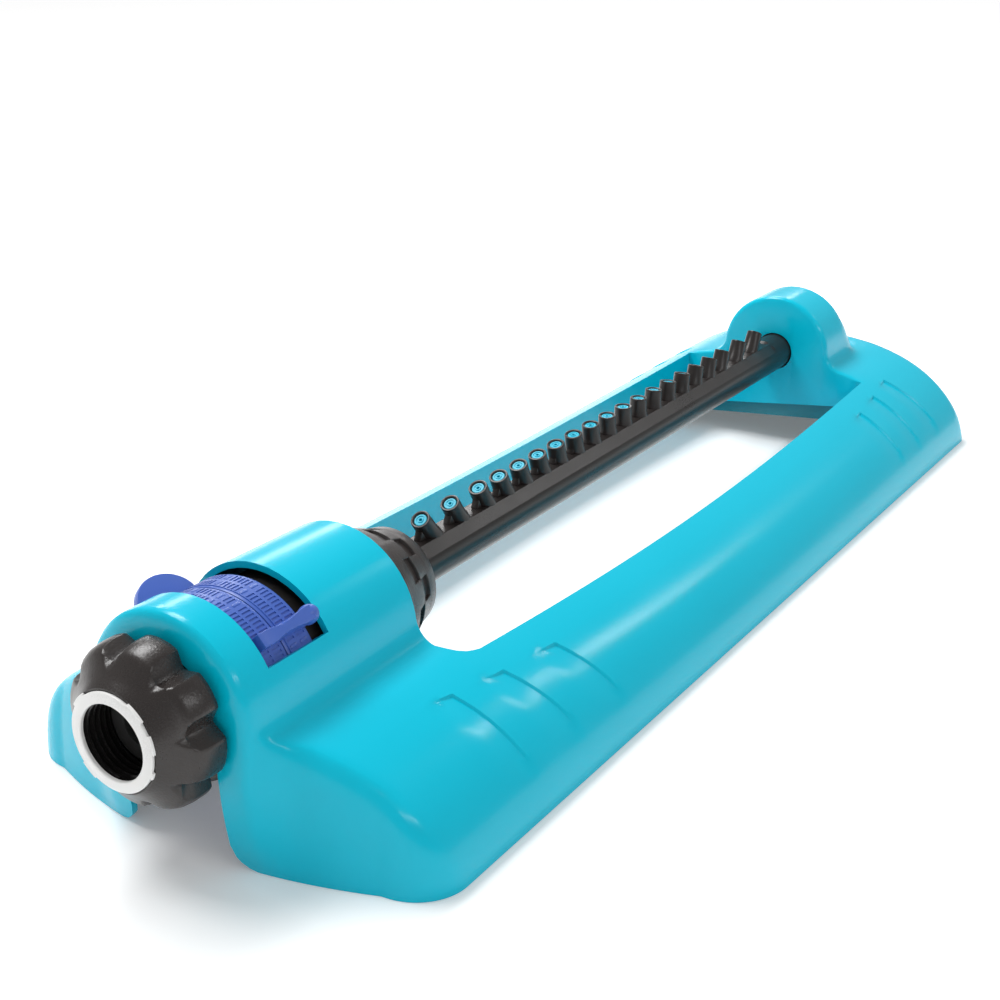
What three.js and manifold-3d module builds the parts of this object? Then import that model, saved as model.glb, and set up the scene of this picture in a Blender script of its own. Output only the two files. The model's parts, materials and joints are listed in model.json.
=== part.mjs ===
// Oscillating lawn sprinkler: an open-bottomed moulded base with a hump at each end,
// a swinging spray tube between the humps, a geared turbine motor in the near hump,
// two range rings in its slot and a swivel hose nut. Millimetres, +Z up, spray tube along X.

import * as THREE from 'three';
import { mergeVertices } from 'three/addons/utils/BufferGeometryUtils.js';
import { ConvexGeometry } from 'three/addons/geometries/ConvexGeometry.js';
import Module from 'manifold-3d';

const wasm = await Module();
wasm.setup();

// ---------- driving dimensions ----------

const gap = 0.3;                 // running and resting clearance
const baseLength = 512;          // from the near end's apex to the far end, on the ground
const halfWidth = 86.7;          // half the base's width on the ground
const axisHeight = 50.1;         // swing axis above the ground
const inletFace = -25.7;         // the hose nut's mouth, ahead of the near end
const wall = 2.4;                // shell wall

const nearBow = 0.00287;         // the near end bows: x = nearBow * y * y
const farBow = 0.0005;
const nearCorner = 19;           // plan radius of the near corners
const farCorner = 10;            // plan radius of the far corners
const sideBulge = 2.6;           // shape of the top's fall to the sides
const sideSteep = 0.56;
const sideStations = [0, 0.3, 0.48, 0.62, 0.74, 0.84, 0.92, 0.97, 1];
const endSteps = [[0, 0], [0.6, 0.45], [1.8, 0.78], [4, 0.94], [9, 1]];
const railSteps = 6;
const crownNear = 49.5;          // level of the top's middle beside the near hump
const crownMid = 44.6;           // level half way along the rails
const crownFar = 47.6;           // level beside the far hump
const sagPlace = 270;            // where the rails are lowest
const sagSpan = 185;             // distance over which they rise again

const windowNear = 83.5;         // window between the rails
const windowFar = 447.5;
const windowHalf = 48.5;
const windowBow = 3.4;           // how far each rail bows out at its middle
const windowCorner = 12;         // radius of the window's near corners
const farLipLow = 9;             // lower edge of the far inner wall, back and front
const farLipHigh = 19;

const humpFront = -5;            // near hump and its boss
const humpRadius = 32.6;
const humpBack = 82;
const humpBackRadius = 31.2;
const motorBay = 30.3;           // radius of the bay inside the near hump
const bayFront = -0.4;
const archRadius = 20.8;         // arch round the hose nut
const archFlare = 9;             // radius of the arch's feet
const farHumpRadius = 28.6;
const farHumpBack = 486;
const tubeHole = 9.7;

const slotNear = 12.4;           // slot for the range rings
const slotFar = 41.5;
const slotAngle = 61;            // slot reaches this far each side of the top

const ringRadius = 30;           // range rings
const ringBore = 27.1;
const ringNear = [13, 24.2];
const ringFar = [24.6, 36];
const backTabAngle = 52;         // degrees from the top towards the back
const frontTabAngle = -47;

const caseRadius = 26.6;         // motor case
const caseBore = 24.4;
const caseEnds = [5.3, 57.5];

const gearModule = 0.8;          // reduction gears
const pinionTeeth = 8;
const wheelTeeth = 22;
const gearCentres = gearModule * (pinionTeeth + wheelTeeth) / 2;

const tubeRadius = 9.1;          // spray tube
const tubeBore = 6.6;
const tubeStart = 92;
const tubeEnd = 474;
const deckHeight = 8.2;          // flat deck the spouts stand on, above the axis
const deckEnd = 430;
const spoutCount = 20;
const spoutMiddle = 276.5;       // middle of the row
const spoutPitch = 13.85;        // spacing along the row
const spoutEndPitch = 18.2;      // spacing of the last two at each end
const spoutEvenReach = 7.5;      // spouts this near the middle are evenly spaced
const spoutRise = 8.1;           // height of every spout's mouth above the deck
const spoutLeanFirst = -38;      // degrees along the tube
const spoutLeanLast = 30;
const spoutRadius = 3.2;
const spoutBore = 2.7;
const pinRadius = 2.35;

const saddleBottom = 20.4;       // strap that holds the motor up from below
const saddleThick = 2.7;
const saddleX = [38.5, 69];
const saddleHalf = 43;
const postPlaces = [[44, 37.5], [63.5, 37.5], [44, -37.5], [63.5, -37.5]];

// ---------- colours and finishes ----------

const finishes = {
  shell: new THREE.MeshStandardMaterial({ color: 0x2fc1de, roughness: 0.3, metalness: 0 }),
  ring: new THREE.MeshStandardMaterial({ color: 0x3a5cb4, roughness: 0.4, metalness: 0 }),
  black: new THREE.MeshStandardMaterial({ color: 0x332e2d, roughness: 0.45, metalness: 0 }),
  jet: new THREE.MeshStandardMaterial({ color: 0x25b9cc, roughness: 0.5, metalness: 0 }),
  plated: new THREE.MeshStandardMaterial({ color: 0xe6e6e6, roughness: 0.35, metalness: 0.8 }),
  steel: new THREE.MeshStandardMaterial({ color: 0xb4b6b8, roughness: 0.35, metalness: 1 }),
  rubber: new THREE.MeshStandardMaterial({ color: 0x1c1c1d, roughness: 0.85, metalness: 0 }),
  gear: new THREE.MeshStandardMaterial({ color: 0xe9e6da, roughness: 0.5, metalness: 0 }),
};

// ---------- small tools ----------

const degrees = (angle) => THREE.MathUtils.degToRad(angle);
const clamp = (value, low, high) => Math.min(Math.max(value, low), high);

// a closed three.js geometry as a solid that can be joined and cut
function solid(geometry) {
  const bare = new THREE.BufferGeometry();
  bare.setAttribute('position', geometry.getAttribute('position').clone());
  if (geometry.index) bare.setIndex(geometry.index.clone());
  const merged = mergeVertices(bare, 1e-4);
  const vertProperties = new Float32Array(merged.getAttribute('position').array);
  const corners = [...merged.index.array];
  const triVerts = [];
  for (let i = 0; i < corners.length; i += 3) {
    const [a, b, c] = corners.slice(i, i + 3);
    if (a !== b && b !== c && a !== c) triVerts.push(a, b, c);
  }
  const make = (order) => new wasm.Manifold(new wasm.Mesh({
    numProp: 3, vertProperties, triVerts: Uint32Array.from(order),
  }));
  const made = make(triVerts);
  if (made.volume() > 0) return made;
  const flipped = [];
  for (let i = 0; i < triVerts.length; i += 3) flipped.push(triVerts[i], triVerts[i + 2], triVerts[i + 1]);
  return make(flipped);
}

const joined = (parts) => parts.reduce((whole, part) => whole.add(part));
const cut = (body, ...tools) => tools.reduce((whole, tool) => whole.subtract(tool), body);

const box = (x0, x1, y0, y1, z0, z1) => solid(
  new THREE.BoxGeometry(x1 - x0, y1 - y0, z1 - z0).translate((x0 + x1) / 2, (y0 + y1) / 2, (z0 + z1) / 2));

// a turned shape on the line through (y, z) along X; profile is [x, radius] pairs
function turned(profile, sides, y = 0, z = axisHeight) {
  const points = profile.map(([x, radius]) => new THREE.Vector2(Math.max(radius, 0), x));
  return solid(new THREE.LatheGeometry(points, sides).rotateZ(-Math.PI / 2).translate(0, y, z));
}

// a solid rod and a ring, both along X
const rod = (x0, x1, radius, sides, y = 0, z = axisHeight) =>
  turned([[x0, 0], [x0, radius], [x1, radius], [x1, 0]], sides, y, z);

const hoop = (x0, x1, inner, outer, sides, y = 0, z = axisHeight) =>
  turned([[x0, inner], [x0, outer], [x1, outer], [x1, inner], [x0, inner]], sides, y, z);

// an upright rod
const post = (x, y, z0, z1, radius, sides) => solid(
  new THREE.CylinderGeometry(radius, radius, z1 - z0, sides)
    .rotateX(Math.PI / 2).translate(x, y, (z0 + z1) / 2));

// an outline in the YZ plane carried along X
function alongX(shape, x0, x1) {
  const frame = new THREE.Matrix4().makeBasis(
    new THREE.Vector3(0, 1, 0), new THREE.Vector3(0, 0, 1), new THREE.Vector3(1, 0, 0));
  const geometry = new THREE.ExtrudeGeometry(shape, { depth: x1 - x0, bevelEnabled: false, curveSegments: 8 });
  return solid(geometry.applyMatrix4(frame).translate(x0, 0, 0));
}

// an outline in the XY plane carried up
const upwards = (shape, z0, z1) => solid(
  new THREE.ExtrudeGeometry(shape, { depth: z1 - z0, bevelEnabled: false, curveSegments: 6 }).translate(0, 0, z0));

const outline = (pairs) => new THREE.Shape(pairs.map(([a, b]) => new THREE.Vector2(a, b)));

// the rigid hull of points
const hull = (points) => solid(new ConvexGeometry(points.map((p) => new THREE.Vector3(...p))));

const group = new THREE.Group();

function add(name, body, finish) {
  const mesh = body.getMesh();
  const geometry = new THREE.BufferGeometry();
  geometry.setAttribute('position', new THREE.BufferAttribute(new Float32Array(mesh.vertProperties), 3));
  geometry.setIndex(new THREE.BufferAttribute(new Uint32Array(mesh.triVerts), 1));
  geometry.computeVertexNormals();
  const part = new THREE.Mesh(geometry, finish);
  part.name = name;
  group.add(part);
}

// ---------- base shell ----------

// level of the crown along the base, sagging between the humps
function crownLevel(x) {
  const away = ((x - sagPlace) / sagSpan) ** 2;
  const rise = x < sagPlace ? crownNear - crownMid : crownFar - crownMid;
  return crownMid + rise * Math.min(away, 1);
}

// the top falls away from the middle to nothing at the sides, on one convex curve
const sideFall = (y, half) => (1 - Math.min(Math.abs(y) / half, 1) ** sideBulge) ** sideSteep;
const topLevel = (x, y) => crownLevel(x) * sideFall(y, halfWidth);

// the base's two ends in plan: bowed, with round corners
function planEdge(y, half, bow, corner) {
  const flat = half - corner;
  const reach = Math.min(Math.abs(y), flat);
  const past = Math.max(Math.abs(y) - flat, 0) / corner;
  return bow * reach * reach + cornerDepth(corner) * (1 - Math.sqrt(Math.max(1 - past * past, 0)));
}

const cornerDepth = (corner) => corner * 0.95;

// closed body over the plan, domed on top; inset shrinks it evenly for the hollow inside
function domedBlock(inset, bottom) {
  const half = halfWidth - inset;
  const columns = sideStations.flatMap((share) => (share === 0 ? [0] : [-share * half, share * half]))
    .sort((a, b) => a - b);
  const middle = [];
  for (let i = 1; i < railSteps; i++) middle.push(i / railSteps);
  const count = 2 * endSteps.length + middle.length;
  const top = [];
  for (const y of columns) {
    const near = planEdge(y, half, nearBow, nearCorner - inset) + inset;
    const far = baseLength - inset - planEdge(y, half, farBow, farCorner - inset);
    const column = [];
    const rise = (x, share) => [x, y, Math.max((crownLevel(x) - inset) * sideFall(y, half) * share, 0)];
    for (const [depth, share] of endSteps) column.push(rise(near + depth, share));
    const x0 = near + endSteps.at(-1)[0];
    const x1 = far - endSteps.at(-1)[0];
    for (const share of middle) column.push(rise(x0 + (x1 - x0) * share, 1));
    for (const [depth, share] of [...endSteps].reverse()) column.push(rise(far - depth, share));
    top.push(column);
  }
  const points = top.flat();
  const size = points.length;
  points.push(...points.map(([x, y]) => [x, y, bottom]));
  const faces = [];
  const quad = (a, b, c, d) => faces.push(a, b, c, a, c, d);
  const at = (column, row) => column * count + row;
  for (let i = 0; i < columns.length - 1; i++) {
    for (let j = 0; j < count - 1; j++) {
      quad(at(i, j), at(i, j + 1), at(i + 1, j + 1), at(i + 1, j));
      quad(size + at(i, j), size + at(i + 1, j), size + at(i + 1, j + 1), size + at(i, j + 1));
    }
    quad(at(i, 0), at(i + 1, 0), size + at(i + 1, 0), size + at(i, 0));
    quad(at(i, count - 1), size + at(i, count - 1), size + at(i + 1, count - 1), at(i + 1, count - 1));
  }
  for (let j = 0; j < count - 1; j++) {
    quad(at(0, j), size + at(0, j), size + at(0, j + 1), at(0, j + 1));
    const last = columns.length - 1;
    quad(at(last, j), at(last, j + 1), size + at(last, j + 1), size + at(last, j));
  }
  const geometry = new THREE.BufferGeometry();
  geometry.setAttribute('position', new THREE.Float32BufferAttribute(points.flat(), 3));
  geometry.setIndex(faces);
  return solid(geometry);
}

// window between the rails, grown by a margin
function windowPlan(margin) {
  const x0 = windowNear - margin;
  const x1 = windowFar + margin;
  const corner = windowCorner + margin;
  const edge = (x) => {
    const share = clamp((x - windowNear) / (windowFar - windowNear), 0, 1);
    return windowHalf + margin + windowBow * Math.sin(Math.PI * share);
  };
  const side = [];
  for (const angle of [0, 30, 60]) {
    side.push([x0 + corner * (1 - Math.cos(degrees(angle))), edge(x0) - corner * (1 - Math.sin(degrees(angle)))]);
  }
  const steps = 7;
  for (let i = 0; i < steps; i++) {
    const x = x0 + corner + (x1 - x0 - corner) * i / steps;
    side.push([x, edge(x)]);
  }
  side.push([x1, edge(x1)]);
  return outline([...side.map(([x, y]) => [x, -y]), ...side.reverse()]);
}

// tombstone outline: round top about the swing axis, straight sides down to a level
function tombstone(radius, bottom) {
  const shape = new THREE.Shape();
  shape.moveTo(-radius, bottom);
  shape.lineTo(radius, bottom);
  shape.lineTo(radius, axisHeight);
  shape.absarc(0, axisHeight, radius, 0, Math.PI, false);
  shape.lineTo(-radius, bottom);
  return shape;
}

// hump: stations [x, radius], round above the axis, straight down to the ground below it
function hump(stations) {
  const parts = [];
  for (let i = 0; i < stations.length - 1; i++) {
    const points = [];
    for (const [x, radius, foot] of [stations[i], stations[i + 1]]) {
      for (let angle = -90; angle <= 90; angle += 15) {
        points.push([x, radius * Math.sin(degrees(angle)), axisHeight + radius * Math.cos(degrees(angle))]);
      }
      points.push([foot ?? x, radius, 0], [foot ?? x, -radius, 0]);
    }
    parts.push(hull(points));
  }
  return joined(parts);
}

// concave fillet along a hump's foot, on both sides
function footFillet(radius, flank, x0, x1) {
  const parts = [];
  for (const side of [-1, 1]) {
    const level = topLevel((x0 + x1) / 2, flank);
    const slope = (level - topLevel((x0 + x1) / 2, flank + radius)) / radius;
    const points = [[flank - 4, level - 6], [flank + radius, level - 6]];
    for (const angle of [0, 30, 60, 90]) {
      const out = radius * (1 - Math.sin(degrees(angle)));
      points.push([flank - 0.6 + out, level - slope * out + radius * (1 - Math.cos(degrees(angle)))]);
    }
    points.push([flank - 4, level + radius]);
    parts.push(alongX(outline(points.map(([y, z]) => [side * y, z])), x0, x1));
  }
  return joined(parts);
}

// wedge of the hump's top that the slot takes out
function slotWedge() {
  const reach = 60;
  const shape = outline([
    [0, axisHeight],
    [reach * Math.sin(degrees(slotAngle)), axisHeight + reach * Math.cos(degrees(slotAngle))],
    [0, axisHeight + 2 * reach],
    [-reach * Math.sin(degrees(slotAngle)), axisHeight + reach * Math.cos(degrees(slotAngle))],
  ]);
  return alongX(shape, slotNear, slotFar);
}

// arch in the near end, with flared feet
function archCut() {
  const shape = new THREE.Shape();
  shape.moveTo(-archRadius - archFlare, -5);
  shape.lineTo(archRadius + archFlare, -5);
  shape.lineTo(archRadius + archFlare, 0);
  shape.absarc(archRadius + archFlare, archFlare, archFlare, -Math.PI / 2, -Math.PI, true);
  shape.lineTo(archRadius, axisHeight);
  shape.absarc(0, axisHeight, archRadius, 0, Math.PI, false);
  shape.lineTo(-archRadius, archFlare);
  shape.absarc(-archRadius - archFlare, archFlare, archFlare, 0, -Math.PI / 2, true);
  shape.lineTo(-archRadius - archFlare, -5);
  return alongX(shape, humpFront - 5, 9);
}

function baseShell() {
  const nearHump = hump([
    [humpFront, 28, 0.9], [humpFront + 1.6, 30.6, 1.2], [humpFront + 5, 32.2, 3], [slotNear, humpRadius],
    [humpBack - 3, humpBackRadius], [humpBack, humpBackRadius - 2],
  ]);
  const farHump = hump([
    [windowFar, farHumpRadius - 2.2], [windowFar + 2.5, farHumpRadius], [farHumpBack - 8, farHumpRadius - 0.4],
    [farHumpBack - 2.5, farHumpRadius - 3], [farHumpBack, farHumpRadius - 7],
  ]);
  const nearFillet = footFillet(8, humpRadius, 8, humpBack - 1);
  const farFillet = footFillet(8, farHumpRadius, windowFar + 1, farHumpBack - 6);
  const skin = cut(
    joined([domedBlock(0, 0), nearHump, farHump, nearFillet, farFillet]),
    upwards(windowPlan(0), -5, 44.9),
    upwards(windowPlan(0), 44.8, 70).subtract(joined([
      box(windowNear - 5, windowNear + 1, -60, 60, 40, 100), box(windowFar - 1, windowFar + 5, -60, 60, 40, 100),
    ])));
  const hollow = cut(
    joined([
      domedBlock(wall, -5),
      alongX(tombstone(farHumpRadius - wall - 0.6, -5), windowFar + wall, farHumpBack - 8),
    ]),
    upwards(windowPlan(wall), -10, 100));
  const bay = joined([
    rod(bayFront, windowNear - wall - 1, motorBay, 32),
    alongX(tombstone(motorBay, -5), 3.6, windowNear - wall - 1),
    alongX(tombstone(motorBay - 1.2, -5), windowNear - wall - 3, windowNear + 5),
  ]);
  const lowerLip = alongX(outline([
    [-windowHalf - 6, -5], [windowHalf - 4, -5], [windowHalf - 12, farLipLow], [-windowHalf + 8, farLipHigh],
    [-windowHalf - 6, farLipHigh],
  ]), windowFar - 2, windowFar + wall + 1);
  const opened = cut(skin, hollow, bay, slotWedge().intersect(
    alongX(tombstone(60, axisHeight - 5), slotNear, slotFar)), archCut(), lowerLip,
  rod(windowFar - 3, windowFar + 6, tubeHole, 24));
  const posts = postPlaces.map(([x, y]) => post(x, y, saddleBottom + saddleThick + gap, 46.4, 3.6, 8)
    .subtract(post(x, y, 0, 40, 1.6, 6)));
  const bushPosts = [-19, 19].map((y) => rod(windowFar + 1, 455.6, 3.4, 8, y)
    .subtract(rod(windowFar + 2.6, 470, 1.4, 6, y)));
  return joined([opened, ...posts, ...bushPosts]);
}

add('base_shell', baseShell(), finishes.shell);

// ---------- hose inlet ----------

const nutBack = -5.6;

function inletNut() {
  const lobes = 8;
  const points = [];
  for (let i = 0; i < lobes * 4; i++) {
    const angle = (2 * Math.PI * i) / (lobes * 4);
    const radius = [27.6, 26.9, 23.8, 26.9][i % 4];
    points.push([radius * Math.cos(angle + 0.2), axisHeight + radius * Math.sin(angle + 0.2)]);
  }
  const fluted = alongX(outline(points), -26, nutBack);
  const envelope = turned([
    [-24.4, 0], [-24.4, 17], [-21.5, 19.2], [-18.5, 22.6], [-16, 27.8], [nutBack - 2, 28], [nutBack, 25],
    [nutBack, 0],
  ], 24);
  const core = turned([[-24.4, 0], [-24.4, 17], [-21.5, 19.2], [-18.5, 22.6], [nutBack, 22.6], [nutBack, 0]], 24);
  return cut(fluted.intersect(envelope).add(core),
    rod(-30, -9.7, 14.8, 24), rod(-30, -23.9, 16.6, 24), rod(-30, 0, 9.4, 20));
}

add('inlet_nut', inletNut(), finishes.black);
add('thread_insert', turned([
  [inletFace, 12.3], [inletFace, 16.3], [-24.2, 16.3], [-24.2, 14.5], [-11.5, 14.5], [-11.5, 12.3], [inletFace, 12.3],
], 24), finishes.plated);
add('hose_washer', hoop(-13.6, -11.8, 7, 12, 20), finishes.rubber);

function inletSpigot() {
  return cut(turned([
    [-11.5, 0], [-11.5, 13.9], [-10, 13.9], [-10, 9.1], [-3.9, 9.1], [-3.9, 11.6], [-2.4, 11.6], [-2.4, 9.1],
    [5.6, 9.1], [5.6, 0],
  ], 20), rod(-12, 6, 6.2, 16));
}

add('inlet_spigot', inletSpigot(), finishes.black);

function filterScreen() {
  const holes = [rod(-11, -8, 1, 6)];
  for (let i = 0; i < 6; i++) {
    const angle = (Math.PI * i) / 3;
    holes.push(rod(-11, -8, 1, 6, 3.4 * Math.cos(angle), axisHeight + 3.4 * Math.sin(angle)));
  }
  return cut(turned([
    [-10.6, 0], [-10.6, 5.9], [-9, 5.9], [-9, 4.9], [-9.9, 4.9], [-9.9, 0],
  ], 16), ...holes);
}

add('filter_screen', filterScreen(), finishes.steel);
add('spigot_oring', hoop(-2.1, -0.1, 9.4, 11.3, 20), finishes.rubber);

// ---------- motor ----------

const coverScrewPlaces = [90, 210, 330].map((angle) => [22.1 * Math.cos(degrees(angle)),
  axisHeight + 22.1 * Math.sin(degrees(angle))]);

const cheeseScrew = (head, tip, headRadius, shankRadius, y, z) => {
  const seat = head + (tip > head ? 1.2 : -1.2);
  return turned([[head, 0], [head, headRadius], [seat, headRadius], [seat, shankRadius], [tip, shankRadius], [tip, 0]],
    8, y, z);
};

function frontCover() {
  return cut(turned([[0.2, 0], [0.2, 18], [1.4, 19.2], [1.4, 25.2], [2.4, 26.3], [5, 26.3], [5, 0]], 24),
    rod(-1, 6, 9.4, 20), ...coverScrewPlaces.map(([y, z]) => rod(-1, 6, 1.8, 8, y, z)));
}

add('motor_front_cover', frontCover(), finishes.black);
coverScrewPlaces.forEach(([y, z], i) => {
  add(`front_cover_screw_${i + 1}`, cheeseScrew(-0.1, 14, 2.7, 1.3, y, z), finishes.steel);
});

function motorCase() {
  const columns = coverScrewPlaces.map(([y, z]) => rod(caseEnds[0], 17, 3, 8, y, z));
  const barrel = hoop(caseEnds[0], caseEnds[1], caseBore, caseRadius, 24);
  const ledge = hoop(19.2, 20.7, 22.6, caseBore + 1, 24);
  return cut(joined([barrel, ledge, ...columns]),
    ...coverScrewPlaces.map(([y, z]) => rod(0, 15, 1.7, 6, y, z)));
}

add('motor_case', motorCase(), finishes.black);

function jetPlate() {
  const jets = [30, 150, 270].map((angle) => rod(5, 9, 1.6, 6, 12 * Math.cos(degrees(angle)),
    axisHeight + 12 * Math.sin(degrees(angle))));
  return cut(rod(6.2, 8, 18.6, 20), rod(5, 9, 1.8, 8), ...jets);
}

add('jet_plate', jetPlate(), finishes.gear);

// spur gear between x0 and x1 on the axle at y
function gear(teeth, x0, x1, y, turn) {
  const pitch = gearModule * teeth / 2;
  const stations = [[-0.5, -0.85, 1.3], [-0.5, 0.55, 0.62], [0.5, 0.55, 0.62], [0.5, -0.85, 1.3]];
  const points = [];
  for (let i = 0; i < teeth; i++) {
    for (const [side, height, thick] of stations) {
      const radius = pitch + height;
      const angle = (2 * Math.PI * (i + turn)) / teeth + (side * thick) / radius;
      points.push([y + radius * Math.cos(angle), axisHeight + radius * Math.sin(angle)]);
    }
  }
  return alongX(outline(points), x0, x1);
}

function turbineWheel() {
  const blades = [];
  for (let i = 0; i < 12; i++) {
    const angle = (Math.PI * i) / 6;
    const blade = new THREE.BoxGeometry(6, 10, 1.2).translate(0, 11.5, 0).rotateX(angle);
    blades.push(solid(blade.translate(13, 0, axisHeight)));
  }
  const pinion = gear(pinionTeeth, 18, 28, 0, 0);
  return cut(joined([rod(9.6, 18.4, 7.4, 16), ...blades, pinion]), rod(9, 29, 1.8, 8));
}

add('turbine_wheel', turbineWheel(), finishes.gear);
add('centre_axle', rod(5.7, 37, 1.5, 8), finishes.steel);
add('bulkhead', cut(rod(21, 22.6, 24.1, 24), rod(20, 24, 4.5, 12), rod(20, 24, 1.8, 8, gearCentres)), finishes.gear);
add('lay_axle', rod(21.2, 55, 1.5, 8, gearCentres), finishes.steel);

function compoundGear(y, wheelX, pinionX, wheelTurn) {
  const [w0, w1] = wheelX;
  const [p0, p1] = pinionX;
  return cut(joined([gear(wheelTeeth, w0, w1, y, wheelTurn), gear(pinionTeeth, p0, p1, y, 0)]),
    rod(w0 - 1, p1 + 1, 1.8, 8, y));
}

add('lay_gear_1', compoundGear(gearCentres, [24, 27], [26.9, 32.2], 0.5), finishes.gear);
add('middle_gear', compoundGear(0, [28.6, 31.4], [31.3, 36.6], 0.5), finishes.gear);
add('lay_gear_2', compoundGear(gearCentres, [33, 35.8], [35.7, 43.4], 0.5), finishes.gear);

const outputBore = 4;

function outputShaft() {
  const shaft = turned([[37.6, 0], [37.6, 5.6], [98, 5.6], [98, 0]], 16);
  return cut(joined([shaft, gear(wheelTeeth, 38.4, 42.6, 0, 0.5)]), rod(46, 99, outputBore, 12),
    rod(30, 40, 2, 8));
}

add('output_shaft', outputShaft(), finishes.gear);

const rearScrewPlaces = [30, 150, 270].map((angle) => [21.6 * Math.cos(degrees(angle)),
  axisHeight + 21.6 * Math.sin(degrees(angle))]);

function rearCover() {
  return cut(turned([
    [55.4, 0], [55.4, 24.1], [57.8, 24.1], [57.8, 26.6], [60.4, 26.6], [60.4, 10], [66, 10], [66, 0],
  ], 24), rod(50, 70, 5.9, 16), rod(61.5, 70, 8.2, 16), ...rearScrewPlaces.map(([y, z]) => rod(50, 70, 1.7, 8, y, z)));
}

add('motor_rear_cover', rearCover(), finishes.black);
rearScrewPlaces.forEach(([y, z], i) => {
  add(`rear_cover_screw_${i + 1}`, cheeseScrew(61.9, 50, 2.7, 1.3, y, z), finishes.steel);
});
add('shaft_oring', hoop(62, 65.6, 5.9, 7.9, 16), finishes.rubber);

// reversing lever, its pin and its snap spring
const leverY = -15;

function reversingLever() {
  const arm = outline([
    [leverY - 3, axisHeight + 3], [leverY + 3, axisHeight + 3], [leverY + 1.6, axisHeight - 13],
    [leverY - 1.6, axisHeight - 13],
  ]);
  return cut(alongX(arm, 47, 49.6), rod(46, 51, 1.6, 8, leverY));
}

add('reversing_lever', reversingLever(), finishes.gear);
add('lever_pin', rod(44.6, 55, 1.3, 8, leverY), finishes.steel);

function snapSpring() {
  const turns = 2.5;
  const steps = 30;
  const coil = [];
  for (let i = 0; i <= steps; i++) {
    const angle = (2 * Math.PI * turns * i) / steps;
    coil.push(new THREE.Vector3(50.3 + (3.4 * i) / steps, leverY + 2.4 * Math.cos(angle),
      axisHeight + 2.4 * Math.sin(angle)));
  }
  const wire = outline([[0.35, 0], [0.11, 0.33], [-0.28, 0.2], [-0.28, -0.2], [0.11, -0.33]]);
  return solid(new THREE.ExtrudeGeometry(wire, { steps, extrudePath: new THREE.CatmullRomCurve3(coil) }));
}

add('snap_spring', snapSpring(), finishes.steel);

// strap under the motor, screwed up into the shell's posts
function motorSaddle() {
  const [x0, x1] = saddleX;
  const plate = box(x0, x1, -saddleHalf, saddleHalf, saddleBottom, saddleBottom + saddleThick);
  const cradle = box(x0 + 3, x1 - 12, -20, 20, saddleBottom, saddleBottom + 8);
  return cut(joined([plate, cradle]), rod(x0 - 1, x1 + 1, caseRadius + 0.5, 20),
    ...postPlaces.map(([x, y]) => post(x, y, 10, 30, 2, 8)));
}

add('motor_saddle', motorSaddle(), finishes.black);
postPlaces.forEach(([x, y], i) => {
  const head = post(x, y, saddleBottom - 2, saddleBottom - gap, 3.2, 10);
  const shank = post(x, y, saddleBottom - 1, 38, 1.3, 8);
  add(`saddle_screw_${i + 1}`, joined([head, shank]), finishes.steel);
});

// ---------- range rings ----------

// ring with a rounded paddle standing on it, its flat sides along the tube
function rangeRing([x0, x1], tabAngle, tabSpan, tabTop, tabThick) {
  const [t0, t1] = tabSpan;
  const middle = (t0 + t1) / 2;
  const half = (t1 - t0) / 2;
  const body = hoop(x0, x1, ringBore, ringRadius, 32);
  const low = ringRadius + 0.9;
  const paddle = new THREE.Shape();
  paddle.moveTo(t0, low);
  paddle.lineTo(t1, low);
  paddle.absellipse(middle, low, half, tabTop - low, 0, Math.PI, false);
  const blade = new THREE.ExtrudeGeometry(paddle, { depth: tabThick, bevelEnabled: false, curveSegments: 5 })
    .translate(0, 0, -tabThick / 2);
  const root = new THREE.BoxGeometry(x1 - x0 - 1, 3, tabThick + 1.4)
    .translate((x0 + x1) / 2, ringRadius + 0.2, 0);
  // the paddle's height runs along +Y here; stand it up, then lean it to its angle
  const place = (geometry) => solid(geometry.rotateX(Math.PI / 2).rotateX(-degrees(tabAngle))
    .translate(0, 0, axisHeight));
  return joined([body, place(blade), place(root)]);
}

add('range_ring_near', rangeRing(ringNear, backTabAngle, [13.4, 37.4], 40.5, 3), finishes.ring);
add('range_ring_far', rangeRing(ringFar, frontTabAngle, [14.2, 40.6], 36.4, 3.6), finishes.ring);

// ---------- spray tube ----------

function tubeCollar() {
  const body = turned([
    [72, 0], [72, 27.4], [89, 27.2], [93, 25.6], [95, 23.8], [105, 20.6], [109, 19.4], [112.5, 18.6], [115.5, 16.4],
    [116, 0],
  ], 24);
  const hollow = turned([[70, 0], [70, 25], [88, 24.6], [92, 20], [92, 0]], 16);
  const notches = [];
  for (let i = 0; i < 10; i++) {
    const angle = (2 * Math.PI * (i + 0.5)) / 10;
    const notch = new THREE.BoxGeometry(9, 7.4, 8).translate(101.5, 0, 24.6).rotateX(angle);
    notches.push(solid(notch.translate(0, 0, axisHeight)));
  }
  return cut(body, hollow, rod(90, 120, tubeRadius + gap, 24), ...notches);
}

add('tube_collar', tubeCollar(), finishes.black);

// spout number 0..19: where it stands and how far it leans
function spoutPlace(index) {
  const step = index - (spoutCount - 1) / 2;
  const far = Math.max(Math.abs(step) - spoutEvenReach, 0);
  const even = Math.min(Math.abs(step), spoutEvenReach);
  const x = spoutMiddle + Math.sign(step) * (even * spoutPitch + far * spoutEndPitch);
  const lean = spoutLeanFirst + (spoutLeanLast - spoutLeanFirst) * index / (spoutCount - 1);
  return [x, degrees(lean)];
}

// a rod on a spout's line, between two heights above the deck measured along the spout
function spoutRod(index, from, to, radius, sides) {
  const [x, lean] = spoutPlace(index);
  const rodShape = new THREE.CylinderGeometry(radius, radius, to - from, sides)
    .translate(0, (from + to) / 2, 0).rotateX(Math.PI / 2).rotateY(lean);
  return solid(rodShape.translate(x, 0, axisHeight + deckHeight));
}

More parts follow.
